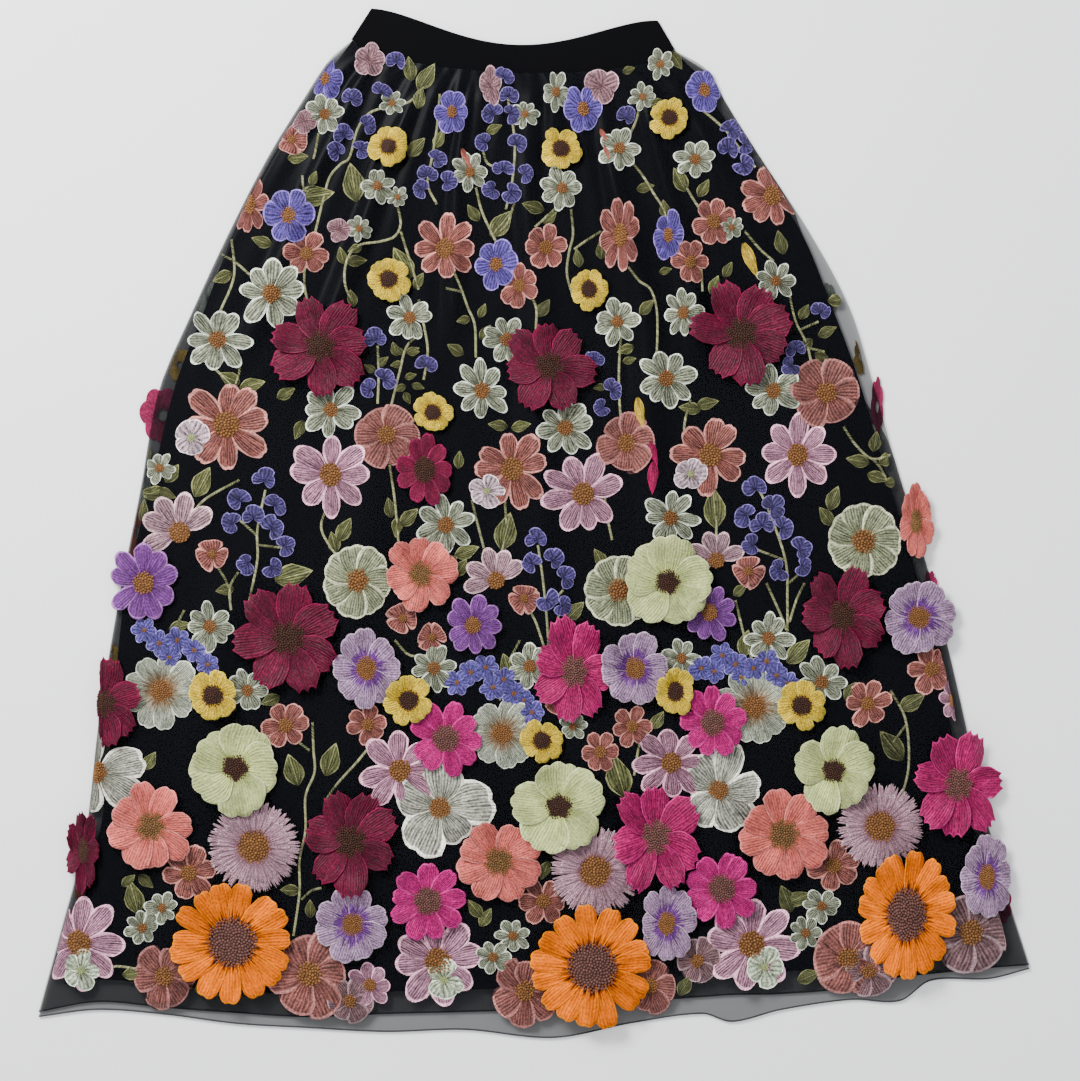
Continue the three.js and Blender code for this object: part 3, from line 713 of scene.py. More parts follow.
LEAVES = [
    # across, down, length, the way it points in degrees
    (411, 70, 24, 95), (426, 78, 30, 60), (420, 99, 22, 80), (417, 147, 26, 50), (314, 179, 16, 70),
    (343, 256, 18, 100), (357, 262, 20, 5), (353, 298, 18, 100), (404, 262, 36, 115), (419, 281, 18, 60),
    (502, 224, 34, 50), (463, 320, 15, 190), (482, 311, 15, 70), (486, 333, 18, 50), (395, 349, 16, 110),
    (413, 351, 14, 20), (397, 197, 16, 80), (629, 71, 14, 20), (676, 62, 22, -60), (645, 188, 18, 15),
    (665, 210, 18, 95), (679, 181, 26, 120), (703, 189, 20, 60), (781, 243, 24, 100), (533, 207, 24, 160),
    (551, 219, 18, 40), (578, 259, 18, 100), (543, 308, 22, 60), (647, 309, 20, 40), (665, 271, 13, 20),
    (715, 286, 20, 60), (838, 300, 22, 10), (440, 140, 20, 60), (474, 213, 20, 120), (657, 719, 22, 60),
    (617, 775, 46, 110), (786, 897, 30, 110), (798, 898, 26, 20), (293, 769, 34, 110), (331, 758, 36, 75),
    (290, 890, 20, 180), (311, 908, 18, 90), (129, 879, 18, 45), (136, 896, 34, 100), (147, 881, 20, 320),
    (134, 972, 22, 10), (348, 999, 24, 100), (576, 611, 26, 40), (507, 665, 28, 110), (746, 643, 28, 75),
    (798, 650, 34, 50), (352, 183, 40, 105), (316, 195, 38, 15), (299, 158, 22, 5), (262, 242, 22, 160),
    (222, 277, 22, 200), (804, 312, 18, 60), (827, 333, 20, 20), (805, 345, 18, 220), (822, 358, 18, 330),
    (230, 378, 24, 150), (253, 386, 26, 10), (287, 393, 22, 30), (204, 482, 34, 60), (295, 577, 40, 8),
    (153, 492, 22, 200), (345, 530, 26, 60), (333, 542, 22, 110), (390, 508, 20, 100), (410, 518, 24, 40),
    (396, 527, 20, 260), (498, 425, 20, 170), (521, 427, 20, 10), (597, 358, 13, 150), (614, 341, 13, 40),
    (629, 360, 14, 20), (599, 388, 13, 190), (370, 369, 14, 150), (383, 362, 14, 40), (398, 351, 13, 150),
    (414, 352, 13, 10), (397, 365, 13, 190), (411, 376, 13, 20), (418, 387, 13, 340), (400, 388, 13, 200),
    (408, 398, 13, 300), (172, 473, 22, 60), (150, 493, 24, 170), (167, 493, 20, 340), (143, 510, 22, 80),
    (147, 453, 16, 100), (467, 552, 26, 20), (461, 567, 22, 60), (690, 408, 22, 170), (707, 404, 22, 10),
    (505, 531, 38, 80), (714, 508, 40, 95), (600, 558, 22, 120), (833, 498, 26, 70), (825, 517, 22, 130),
    (857, 461, 24, 170), (875, 441, 22, 80), (888, 458, 22, 30), (877, 478, 22, 340), (893, 482, 18, 10),
    (180, 626, 22, 20), (512, 666, 22, 210), (890, 745, 38, 130), (912, 702, 30, 30), (475, 908, 22, 130),
    (486, 916, 22, 60), (808, 976, 24, 20), (685, 984, 24, 60), (430, 835, 24, 300), (700, 815, 24, 240),
    (585, 790, 22, 60), (225, 905, 20, 100), (350, 865, 20, 280), (545, 870, 20, 250), (815, 845, 22, 60),
    (735, 960, 20, 200), (425, 990, 22, 340), (205, 985, 22, 30), (600, 1008, 22, 10),
    (930, 790, 22, 270), (655, 105, 18, 200), (495, 130, 18, 20), (355, 250, 16, 200),
    (600, 250, 20, 100), (728, 270, 18, 60), (330, 360, 18, 330), (455, 350, 20, 150),
    (545, 395, 20, 250), (625, 350, 18, 200), (755, 330, 16, 30), (300, 430, 20, 250), (450, 560, 18, 20),
    (655, 600, 20, 300), (740, 590, 18, 40), (225, 590, 20, 190), (330, 620, 20, 100), (460, 460, 18, 80),
    (720, 430, 18, 330), (270, 700, 22, 200), (850, 690, 22, 60), (150, 760, 22, 60),
]
STEM_HALF, STEM_RISE = 1.25, 0.7
stems, leaves = new_work(), new_work()
for way in STEMS:
    way = np.array([(x - CORNER_X, CORNER_Y - y) for x, y in way])
    ends = np.concatenate([2 * way[:1] - way[1:2], way, 2 * way[-1:] - way[-2:-1]])
    line = []
    for a, b, c, d in zip(ends, ends[1:], ends[2:], ends[3:]):
        for s in np.linspace(0, 1, 8, endpoint=False):
            bend = (2 * a - 5 * b + 4 * c - d) * s**2 + (3 * b - a - 3 * c + d) * s**3
            line.append(0.5 * (2 * b + (c - a) * s + bend))
    line = np.array(line + [way[-1]])
    run = np.gradient(line, axis=0)
    run /= np.linalg.norm(run, axis=1)[:, None]
    sideways = np.stack([-run[:, 1], run[:, 0]], axis=-1)
    ground = organza_height(line[:, 0], line[:, 1])
    strip = []
    for turn in np.linspace(math.pi, 0, 6):
        flat = line + sideways * STEM_HALF * math.cos(turn)
        strip.append(np.column_stack([flat, ground + 0.1 + STEM_RISE * math.sin(turn)]))
    strip = np.stack(strip, axis=1)[:, ::-1]
    length = np.concatenate([[0], np.cumsum(np.linalg.norm(np.diff(line, axis=0), axis=1))])
    u = length[:, None] * 0.05 + np.linspace(0, 0.12, 6)[None]
    add_grid(stems, strip[::-1], random.uniform(0.85, 1.1), u[::-1], np.full_like(u, 0.5))
for x, y, length, turn in LEAVES:
    tail_x = x - 0.5 * length * math.cos(math.radians(turn))
    tail_y = y + 0.5 * length * math.sin(math.radians(turn))
    bright = random.uniform(0.7, 1.1)
    add_flower(leaves, tail_x, tail_y, length, 1, turn, start=0.0, span=100, width=0.28, base=0.12,
               round_off=0.5, point=1.2, puff=0.7, lift=0.15, cells=(10, 8), bright=bright)
stem_thread = thread_material(
    "stem_thread", (0.12, 0.12, 0.05), (0.19, 0.195, 0.085), (0.24, 0.24, 0.12), rows=7, gaps=0.9
)
make_piece("stems", stems, stem_thread)
leaf_thread = thread_material(
    "leaf_thread", (0.05, 0.052, 0.014), (0.115, 0.122, 0.038), (0.23, 0.235, 0.095), rows=8, gaps=0.9,
    edge_at=0.9, vein=0.1,
)
make_piece("leaves", leaves, leaf_thread)

# Flat flowers: the small and middle-sized blossoms of open satin stitch, each petal outlined in paler
# thread with fine lines inside that let the black organza show between them.
FLAT = {
    # colours of heart, petal and outline; heart is its share of the radius, the rest is for add_flower
    "coral": dict(
        colours=[(0.24, 0.065, 0.042), (0.34, 0.105, 0.085), (0.62, 0.26, 0.22)],
        petals=8, width=0.84, heart=0.29, rows=9, gaps=0.95, start=0.16, round_off=0.3, base=0.26,
        notch=0.05, uneven=0.12,
    ),
    "lilac": dict(
        colours=[(0.42, 0.17, 0.26), (0.52, 0.24, 0.34), (0.95, 0.49, 0.62)],
        petals=8, width=0.84, heart=0.28, rows=10, gaps=0.95, start=0.18, round_off=0.32, base=0.24,
        uneven=0.12,
    ),
    "mint": dict(
        colours=[(0.15, 0.15, 0.09), (0.30, 0.32, 0.22), (0.78, 0.84, 0.68)],
        petals=8, width=0.86, heart=0.27, rows=6, gaps=0.95, start=0.16, round_off=0.34, base=0.2,
        uneven=0.15,
    ),
    "round_mint": dict(
        colours=[(0.22, 0.22, 0.11), (0.30, 0.33, 0.19), (0.60, 0.61, 0.40)],
        petals=7, width=1.25, heart=0.32, rows=12, gaps=0.85, start=0.2, round_off=0.2, base=0.5,
        tilt=0.5, teeth=-0.05, points=2,
    ),
    "big_mint": dict(
        colours=[(0.30, 0.29, 0.21), (0.44, 0.44, 0.36), (0.84, 0.82, 0.70)],
        petals=5, width=0.8, heart=0.22, rows=14, gaps=0.9, start=0.12, round_off=0.3, base=0.22,
        notch=0.08, uneven=0.2,
    ),
    "salmon": dict(
        colours=[(0.16, 0.044, 0.030), (0.26, 0.084, 0.070), (0.38, 0.15, 0.135)],
        petals=6, width=1.15, heart=0.3, rows=10, gaps=0.8, start=0.18, round_off=0.22, base=0.4,
        tilt=0.6, uneven=0.14, ruffle=0.8,
    ),
    "dusky": dict(
        colours=[(0.13, 0.06, 0.06), (0.23, 0.12, 0.13), (0.36, 0.23, 0.25)],
        petals=6, width=1.15, heart=0.3, rows=10, gaps=0.8, start=0.18, round_off=0.22, base=0.4,
        tilt=0.6, uneven=0.14, ruffle=0.8,
    ),
    "blue": dict(
        colours=[(0.10, 0.058, 0.30), (0.11, 0.07, 0.35), (0.24, 0.17, 0.54)],
        petals=6, width=0.98, heart=0.3, rows=6, gaps=0.9, start=0.2, round_off=0.3, base=0.3,
        uneven=0.14,
    ),
    "forget_me_not": dict(
        colours=[(0.07, 0.05, 0.24), (0.115, 0.09, 0.36), (0.28, 0.23, 0.58)],
        petals=6, width=0.95, heart=0.2, rows=3, gaps=0.8, start=0.1, round_off=0.35, base=0.3,
        uneven=0.1,
    ),
    "bell": dict(
        colours=[(0.03, 0.018, 0.09), (0.065, 0.045, 0.18), (0.20, 0.155, 0.42)],
        petals=3, width=1.3, heart=0, rows=4, gaps=0.9, start=0.0, round_off=0.3, base=0.3, span=170,
        uneven=0.18,
    ),
    "bud": dict(
        colours=[(0.20, 0.09, 0.10), (0.28, 0.14, 0.16), (0.50, 0.30, 0.33)],
        petals=5, width=0.95, heart=0, rows=5, gaps=0.85, start=0.0, round_off=0.3, base=0.3,
        uneven=0.16,
    ),
    "half_open": dict(
        colours=[(0.28, 0.14, 0.18), (0.40, 0.23, 0.27), (0.74, 0.47, 0.50)],
        petals=5, width=1.05, heart=0.27, rows=8, gaps=0.92, start=0.14, round_off=0.3, base=0.3,
        span=165,
    ),
    "pansy": dict(
        colours=[(0.26, 0.31, 0.16), (0.52, 0.60, 0.42), (0.86, 0.92, 0.75)],
        petals=5, width=0.9, heart=0.2, rows=4, gaps=0.85, start=0.12, round_off=0.3, base=0.26,
        uneven=0.15,
    ),
    "lilac_pansy": dict(
        colours=[(0.27, 0.20, 0.20), (0.62, 0.45, 0.51), (0.95, 0.76, 0.82)],
        petals=5, width=0.95, heart=0.2, rows=4, gaps=0.85, start=0.14, round_off=0.3, base=0.28,
        uneven=0.16,
    ),
}
GREEN_HEARTED = ("pansy", "lilac_pansy")
BLOSSOMS = [
    # sort, then places across and down, radius, turn and the share of the width kept
    ("coral", [
        (445, 249, 34, 0, 0.95), (620, 236, 40, 10, 0.55), (227, 425, 45, 5, 1), (512, 469, 40, 12, 0.95),
        (710, 455, 40, 0, 0.98), (772, 196, 33, 20, 0.95), (250, 205, 32, 0, 0.6), (307, 254, 23, 0, 1),
        (546, 248, 24, 10, 0.95), (519, 286, 23, 30, 0.9), (690, 263, 22, 0, 0.85),
        (713, 222, 26, 15, 0.85), (286, 725, 25, 0, 1), (368, 724, 21, 20, 1), (600, 751, 21, 0, 1),
        (632, 726, 21, 12, 1), (867, 703, 24, 5, 1), (931, 669, 25, 0, 1), (190, 872, 28, 10, 1),
        (543, 900, 24, 0, 1), (833, 865, 26, 20, 1), (403, 618, 14, 0, 1), (432, 637, 13, 30, 1),
        (213, 554, 15, 90, 1), (524, 598, 14, 90, 1), (748, 571, 15, 90, 1), (292, 140, 15, 0, 1),
        (560, 700, 16, 0, 1),
    ]),
    ("salmon", [
        (826, 393, 34, 0, 1), (626, 443, 31, 10, 0.92), (387, 435, 32, 0, 0.95), (165, 975, 32, 5, 0.95),
        (310, 973, 42, 0, 0.95), (525, 990, 34, 20, 0.95), (650, 985, 28, 0, 0.9), (848, 957, 36, 12, 1),
    ]),
    ("dusky", [
        (970, 932, 42, 0, 0.95), (868, 970, 26, 0, 1), (697, 960, 24, 0, 0.9), (350, 1000, 22, 0, 1),
    ]),
    ("lilac", [
        (331, 475, 43, 0, 0.92), (583, 494, 41, 12, 0.98), (797, 455, 41, 0, 0.88), (400, 770, 40, 8, 1),
        (671, 762, 37, 0, 1), (80, 942, 46, 0, 0.95), (438, 960, 47, 10, 1), (751, 943, 48, 0, 1),
        (370, 984, 23, 0, 1), (955, 700, 22, 20, 0.8),
    ]),
    ("half_open", [
        (180, 532, 40, 120, 1), (496, 580, 33, 110, 1), (716, 560, 30, 110, 1),
    ]),
    ("mint", [
        (325, 115, 20, 0, 1), (378, 187, 18, 20, 1), (470, 173, 20, 0, 0.95), (556, 93, 20, 10, 0.7),
        (562, 189, 21, 0, 1), (619, 149, 22, 5, 1), (660, 65, 16, 0, 0.9), (695, 160, 21, 12, 1),
        (272, 294, 35, 5, 1), (218, 340, 33, 0, 1), (410, 318, 23, 0, 1), (507, 340, 26, 15, 0.95),
        (617, 322, 23, 0, 1), (683, 313, 25, 8, 0.8), (775, 282, 20, 0, 1), (482, 391, 31, 0, 0.9),
        (666, 379, 31, 12, 0.95), (331, 410, 28, 0, 1), (565, 428, 30, 6, 1), (773, 391, 29, 0, 1),
        (446, 525, 31, 10, 1), (670, 518, 28, 0, 1), (211, 626, 25, 0, 1), (434, 668, 25, 10, 1),
        (768, 638, 25, 0, 1), (530, 666, 24, 0, 1), (821, 682, 26, 4, 1), (681, 658, 20, 0, 1),
        (248, 690, 22, 0, 1), (573, 726, 14, 0, 1), (143, 927, 18, 0, 1), (163, 907, 17, 9, 1),
        (493, 956, 18, 0, 1), (513, 935, 18, 20, 1), (805, 932, 18, 0, 1), (821, 905, 18, 12, 1),
        (392, 104, 13, 0, 1), (525, 115, 14, 0, 1), (642, 98, 14, 0, 1), (360, 230, 13, 0, 1),
        (398, 198, 11, 0, 1), (731, 228, 12, 0, 1), (160, 468, 16, 0, 1),
    ]),
    ("round_mint", [
        (358, 581, 37, 0, 0.92), (619, 590, 36, 10, 1), (863, 541, 38, 0, 1),
    ]),
    ("big_mint", [
        (97, 772, 50, 30, 1), (440, 807, 50, 14, 1), (718, 789, 46, 0, 1),
    ]),
    ("blue", [
        (289, 216, 28, 0, 0.92), (496, 265, 25, 10, 0.9), (452, 113, 22, 0, 0.78),
        (583, 110, 26, 8, 0.72), (704, 91, 24, 0, 0.8), (668, 236, 25, 5, 0.62), (325, 79, 22, 0, 0.8),
    ]),
    ("forget_me_not", [
        (145, 630, 13, 0, 1), (160, 643, 13, 20, 1), (178, 640, 13, 40, 1), (195, 650, 13, 10, 1),
        (209, 664, 12, 30, 1), (170, 657, 12, 5, 1), (457, 682, 13, 0, 1), (471, 672, 13, 20, 1),
        (486, 667, 13, 0, 1), (493, 687, 13, 10, 1), (504, 679, 13, 30, 1), (514, 693, 13, 40, 1),
        (532, 712, 13, 0, 1), (524, 700, 11, 15, 1), (701, 668, 13, 0, 1), (722, 655, 13, 15, 1),
        (735, 664, 13, 40, 1), (714, 671, 12, 25, 1), (741, 677, 11, 0, 1), (766, 661, 14, 0, 1),
        (776, 675, 13, 20, 1), (787, 683, 12, 5, 1), (753, 668, 12, 0, 1),
    ]),
    ("bell", [
        (352, 100, 10, 60, 1), (367, 125, 10, 30, 1), (345, 136, 10, 90, 1), (361, 150, 10, 10, 1),
        (338, 153, 10, 120, 1), (382, 93, 10, 60, 1), (397, 62, 10, 90, 1), (437, 160, 10, 20, 1),
        (428, 176, 10, 70, 1), (422, 190, 10, 150, 1), (447, 183, 10, 0, 1), (505, 78, 10, 60, 1),
        (508, 97, 10, 90, 1), (493, 115, 10, 130, 1), (511, 114, 10, 20, 1), (485, 143, 10, 160, 1),
        (517, 145, 10, 60, 1), (503, 170, 10, 100, 1), (525, 175, 10, 20, 1), (493, 190, 10, 200, 1),
        (511, 193, 10, 330, 1), (626, 118, 10, 60, 1), (730, 130, 11, 40, 1), (728, 150, 11, 90, 1),
        (745, 145, 11, 0, 1), (743, 165, 11, 320, 1), (376, 340, 11, 90, 1), (385, 379, 11, 40, 1),
        (370, 390, 10, 170, 1), (427, 366, 11, 60, 1), (594, 360, 10, 90, 1), (612, 390, 10, 30, 1),
        (602, 408, 10, 200, 1), (820, 312, 10, 60, 1), (795, 350, 10, 120, 1), (790, 367, 10, 210, 1),
        (265, 480, 12, 80, 1), (240, 500, 12, 130, 1), (276, 505, 11, 40, 1), (233, 523, 12, 170, 1),
        (254, 517, 12, 90, 1), (273, 528, 12, 30, 1), (285, 546, 11, 10, 1), (248, 563, 11, 200, 1),
        (273, 567, 10, 330, 1), (755, 488, 12, 100, 1), (772, 507, 12, 40, 1), (745, 515, 12, 160, 1),
        (762, 525, 12, 90, 1), (782, 528, 12, 20, 1), (752, 545, 11, 190, 1), (800, 549, 11, 20, 1),
        (779, 570, 11, 200, 1), (802, 566, 10, 340, 1), (537, 540, 11, 90, 1), (532, 563, 11, 150, 1),
        (553, 560, 11, 40, 1), (564, 577, 11, 20, 1), (547, 600, 11, 300, 1), (562, 605, 10, 340, 1),
    ]),
    ("bud", [
        (370, 62, 17, 80, 1), (490, 87, 19, 90, 0.6), (600, 87, 20, 90, 0.85), (304, 122, 12, 60, 1),
        (340, 230, 12, 90, 1),
    ]),
    ("pansy", [
        (82, 969, 20, 0, 1), (444, 979, 20, 0, 1), (764, 966, 20, 0, 1),
    ]),
    ("lilac_pansy", [
        (192, 438, 20, 0, 1), (487, 491, 17, 0, 1), (690, 474, 17, 0, 1),
    ]),
]
for number, (sort, places) in enumerate(BLOSSOMS):
    style = dict(FLAT[sort])
    colours, petals, heart = style.pop("colours"), style.pop("petals"), style.pop("heart")
    rows, gaps = style.pop("rows"), style.pop("gaps")
    hearts = green_hearts if sort in GREEN_HEARTED else gold_hearts
    work = new_work()
    for x, y, radius, turn, kept in places:
        count = petals if radius > 24 or petals < 7 else petals - 1
        if sort == "coral" and radius < 30:
            count = 6 if radius > 16 else 3
        cells = (8, 8) if radius > 24 else (6, 6)
        bright = random.uniform(0.9, 1.08)
        add_flower(work, x, y, radius, count, turn, squeeze=(kept, kept), cells=cells,
                   lift=0.45 + 0.05 * number, bright=bright, **style)
        if heart and radius > 9:
            knots = max(12, int(radius * 1.3))
            add_heart(hearts, x, y, radius * heart, dome=0.9, knots=knots, squeeze=(kept, kept), lift=1.1,
                      bright=bright)
    thread = thread_material(f"{sort}_thread", *colours, rows=rows, gaps=gaps, edge_at=0.85)
    make_piece(f"flat_{sort}_flowers", work, thread)

# Star bursts: cream flowers of many fine loose petals round a gold heart, stitched flat.
bursts = new_work()
for x, y, radius in ((162, 690, 38), (502, 733, 36), (754, 706, 40)):
    add_flower(bursts, x, y, radius, 9, width=1.1, uneven=0.1, round_off=0.24, teeth=-0.05, points=2,
               cells=(8, 10), lift=1.0, puff=0.6, base=0.45, ruffle=0.5)
    add_heart(gold_hearts, x, y, radius * 0.28, dome=1.0, knots=70, lift=1.2)
burst_thread = thread_material(
    "burst_thread", (0.30, 0.17, 0.08), (0.44, 0.47, 0.36), (0.72, 0.77, 0.62), rows=15, gaps=0.8,
    heart_end=0.16, petal_start=0.5, edge_at=0.93,
)
make_piece("flat_star_bursts", bursts, burst_thread)

# Flowers behind the net: the back panel's flowers and those that wrap round the side seams, of which
# only a little shows at the edges, dulled by the front organza.
BEHIND_COLOURS = {
    "magenta": (0.34, 0.02, 0.09),
    "yellow": (0.62, 0.42, 0.08),
    "coral": (0.62, 0.14, 0.08),
    "pale": (0.50, 0.58, 0.48),
}
behind = {colour: new_work() for colour in BEHIND_COLOURS}
BEHIND = [
    # colour, then places across and down, radius, petals and the share of the width kept
    ("magenta", 163, 415, 29, 7, 0.8), ("magenta", 877, 407, 30, 7, 0.22), ("yellow", 180, 365, 17, 8, 0.9),
    ("yellow", 862, 357, 18, 8, 0.5), ("coral", 139, 532, 30, 8, 0.8), ("yellow", 107, 655, 14, 8, 0.9),
    ("coral", 955, 640, 22, 8, 0.5), ("pale", 100, 745, 22, 7, 0.7),
    ("pale", 868, 440, 18, 7, 0.6), ("coral", 985, 800, 24, 8, 0.5),
    ("pale", 145, 480, 22, 7, 0.8), ("coral", 80, 880, 20, 8, 0.6), ("magenta", 1000, 905, 20, 8, 0.6),
    ("pale", 210, 300, 18, 7, 0.8), ("coral", 250, 235, 20, 8, 0.8), ("pale", 828, 300, 18, 7, 0.5),
    ("pale", 900, 560, 18, 7, 0.5), ("magenta", 930, 590, 20, 8, 0.4),
]


def under_the_net(x, y):
    return np.full_like(x, 1.7)


for colour, x, y, radius, petals, kept in BEHIND:
    add_flower(behind[colour], x, y, radius, petals, random.uniform(0, 40), width=1.1, squeeze=(kept, kept),
               height=under_the_net, lift=0.0, puff=0.4, cells=(6, 6), wraps=colour != "magenta")
for colour, work in behind.items():
    shade = BEHIND_COLOURS[colour]
    dark = tuple(0.6 * c for c in shade)
    thread = thread_material(f"behind_{colour}_thread", dark, shade, shade, gaps=0.4)
    make_piece(f"behind_{colour}_flowers", work, thread)

# Folded-in flowers: where a fold of the cloth hides most of a flower, only a thin strip of it shows.
for name, shade, strips in (
    ("folded_yellow_petals", (0.55, 0.36, 0.03), [(637, 398, 30, -75), (743, 244, 38, -68)]),
    ("folded_magenta_petals", (0.30, 0.001, 0.06), [(649, 440, 26, -72), (653, 462, 34, -88)]),
    ("folded_coral_petals", (0.52, 0.14, 0.10), [(600, 130, 18, -60), (604, 147, 16, -75),
    (462, 150, 22, -65)]),
):
    work = new_work()
    for x, y, length, turn in strips:
        add_flower(work, x, y, length, 1, turn, start=0.0, span=100, width=0.15, base=0.3,
                   round_off=0.5, point=1.4, lift=0.8, puff=1.2, cells=(8, 4))
    dark, light = tuple(0.6 * c for c in shade), tuple(1.3 * c for c in shade)
    thread = thread_material(name, dark, shade, light, rows=4)
    make_piece(name, work, thread)

# Raised flowers: nine sorts of padded flower, embroidered apart, cut out and sewn on through the heart
# so that their petals stand up off the organza and lie over one another.
RAISED = {
    # as in FLAT, with heart as its colour, its share of the radius and its number of knots
    "thistle": dict(
        colours=[(0.20, 0.08, 0.12), (0.40, 0.22, 0.27), (0.66, 0.44, 0.50)],
        petals=210, width=1.7, heart=("gold", 0.42, 120), rows=2, gaps=0.4, start=0.3, round_off=0.35,
        point=1.4, base=0.6, uneven=0.08, cells=(7, 3), lift=0.2, puff=0.4,
    ),
    "aster": dict(
        colours=[(0.08, 0.013, 0.11), (0.16, 0.038, 0.22), (0.36, 0.14, 0.44)],
        petals=9, width=0.94, heart=("gold", 0.33, 56), rows=7, gaps=0.6, start=0.2, round_off=0.26,
        base=0.3, uneven=0.11, cells=(8, 8),
    ),
    "daisy": dict(
        colours=[(0.28, 0.002, 0.08), (0.43, 0.004, 0.14), (0.58, 0.025, 0.23)],
        petals=9, width=0.98, heart=("rosewood", 0.42, 120), rows=11, gaps=0.45, start=0.2,
        round_off=0.24, base=0.36, teeth=-0.05, points=2, tilt=0.3, ruffle=0.5, uneven=0.1,
        cells=(8, 12),
    ),
    "windflower": dict(
        colours=[(0.14, 0.03, 0.22), (0.33, 0.20, 0.33), (0.50, 0.36, 0.48)],
        petals=8, width=1.12, heart=("gold", 0.36, 120), rows=10, gaps=0.6, start=0.14, round_off=0.18,
        base=0.4, teeth=-0.05, points=2, tilt=0.5, ruffle=0.9, uneven=0.08, cells=(9, 12),
        heart_end=0.36, petal_start=0.44, edge_at=0.93,
    ),
    "cosmos": dict(
        colours=[(0.075, 0.0005, 0.015), (0.112, 0.0005, 0.022), (0.19, 0.001, 0.04)],
        petals=7, width=0.95, heart=("brown", 0.37, 160), rows=13, gaps=0.6, start=0.14, round_off=0.3,
        point=4.5, base=0.3, teeth=0.085, points=4, tilt=1.4, ruffle=2.2, uneven=0.12, cells=(10, 16),
        edge_at=0.95,
    ),
    "buttercup": dict(
        colours=[(0.42, 0.23, 0.006), (0.60, 0.40, 0.02), (0.70, 0.54, 0.055)],
        petals=7, width=1.06, heart=("brown", 0.50, 80), rows=7, gaps=0.35, start=0.3, round_off=0.22,
        base=0.55, teeth=-0.06, points=2, tilt=0.2, ruffle=0.3, uneven=0.14, cells=(6, 12),
    ),
    "poppy": dict(
        colours=[(0.50, 0.085, 0.06), (0.64, 0.13, 0.105), (0.74, 0.23, 0.21)],
        petals=8, width=1.12, heart=("olive", 0.42, 150), rows=11, gaps=0.5, start=0.16, round_off=0.2,
        base=0.4, teeth=-0.05, points=2, tilt=1.0, ruffle=2.2, uneven=0.13, cells=(9, 12),
        edge_at=0.95, glints=0.5,
    ),
    "anemone": dict(
        colours=[(0.38, 0.42, 0.12), (0.46, 0.515, 0.20), (0.60, 0.65, 0.32)],
        petals=5, width=1.02, heart=("brown", 0.33, 110), rows=16, gaps=0.3, start=0.16,
        round_off=0.3, base=0.4, teeth=-0.08, points=3, tilt=1.3, ruffle=3.6, uneven=0.13,
        cells=(9, 18), edge_at=0.96, glints=0.35,
    ),
    "gerbera": dict(
        colours=[(0.05, 0.008, 0.001), (0.86, 0.165, 0.0), (0.95, 0.26, 0.0)],
        petals=15, width=1.16, heart=("rosewood", 0.46, 220), rows=7, gaps=0.4, start=0.3,
        round_off=0.2, point=3.6, base=0.6, notch=0.03, tilt=0.8, ruffle=1.2, uneven=0.06,
        cells=(9, 12), heart_end=0.06, petal_start=0.3, edge_at=0.95, shine=0.8, gloss=0.0, glints=0.35,
    ),
}
OTHER_SHADES = {
    # colours of heart, petal and outline, and of the knots
    ("cosmos", "pink"): ([(0.24, 0.002, 0.055), (0.38, 0.004, 0.10), (0.54, 0.02, 0.18)], "rosewood"),
    ("daisy", "crimson"): ([(0.10, 0.001, 0.02), (0.15, 0.001, 0.03), (0.24, 0.005, 0.06)], "brown"),
}
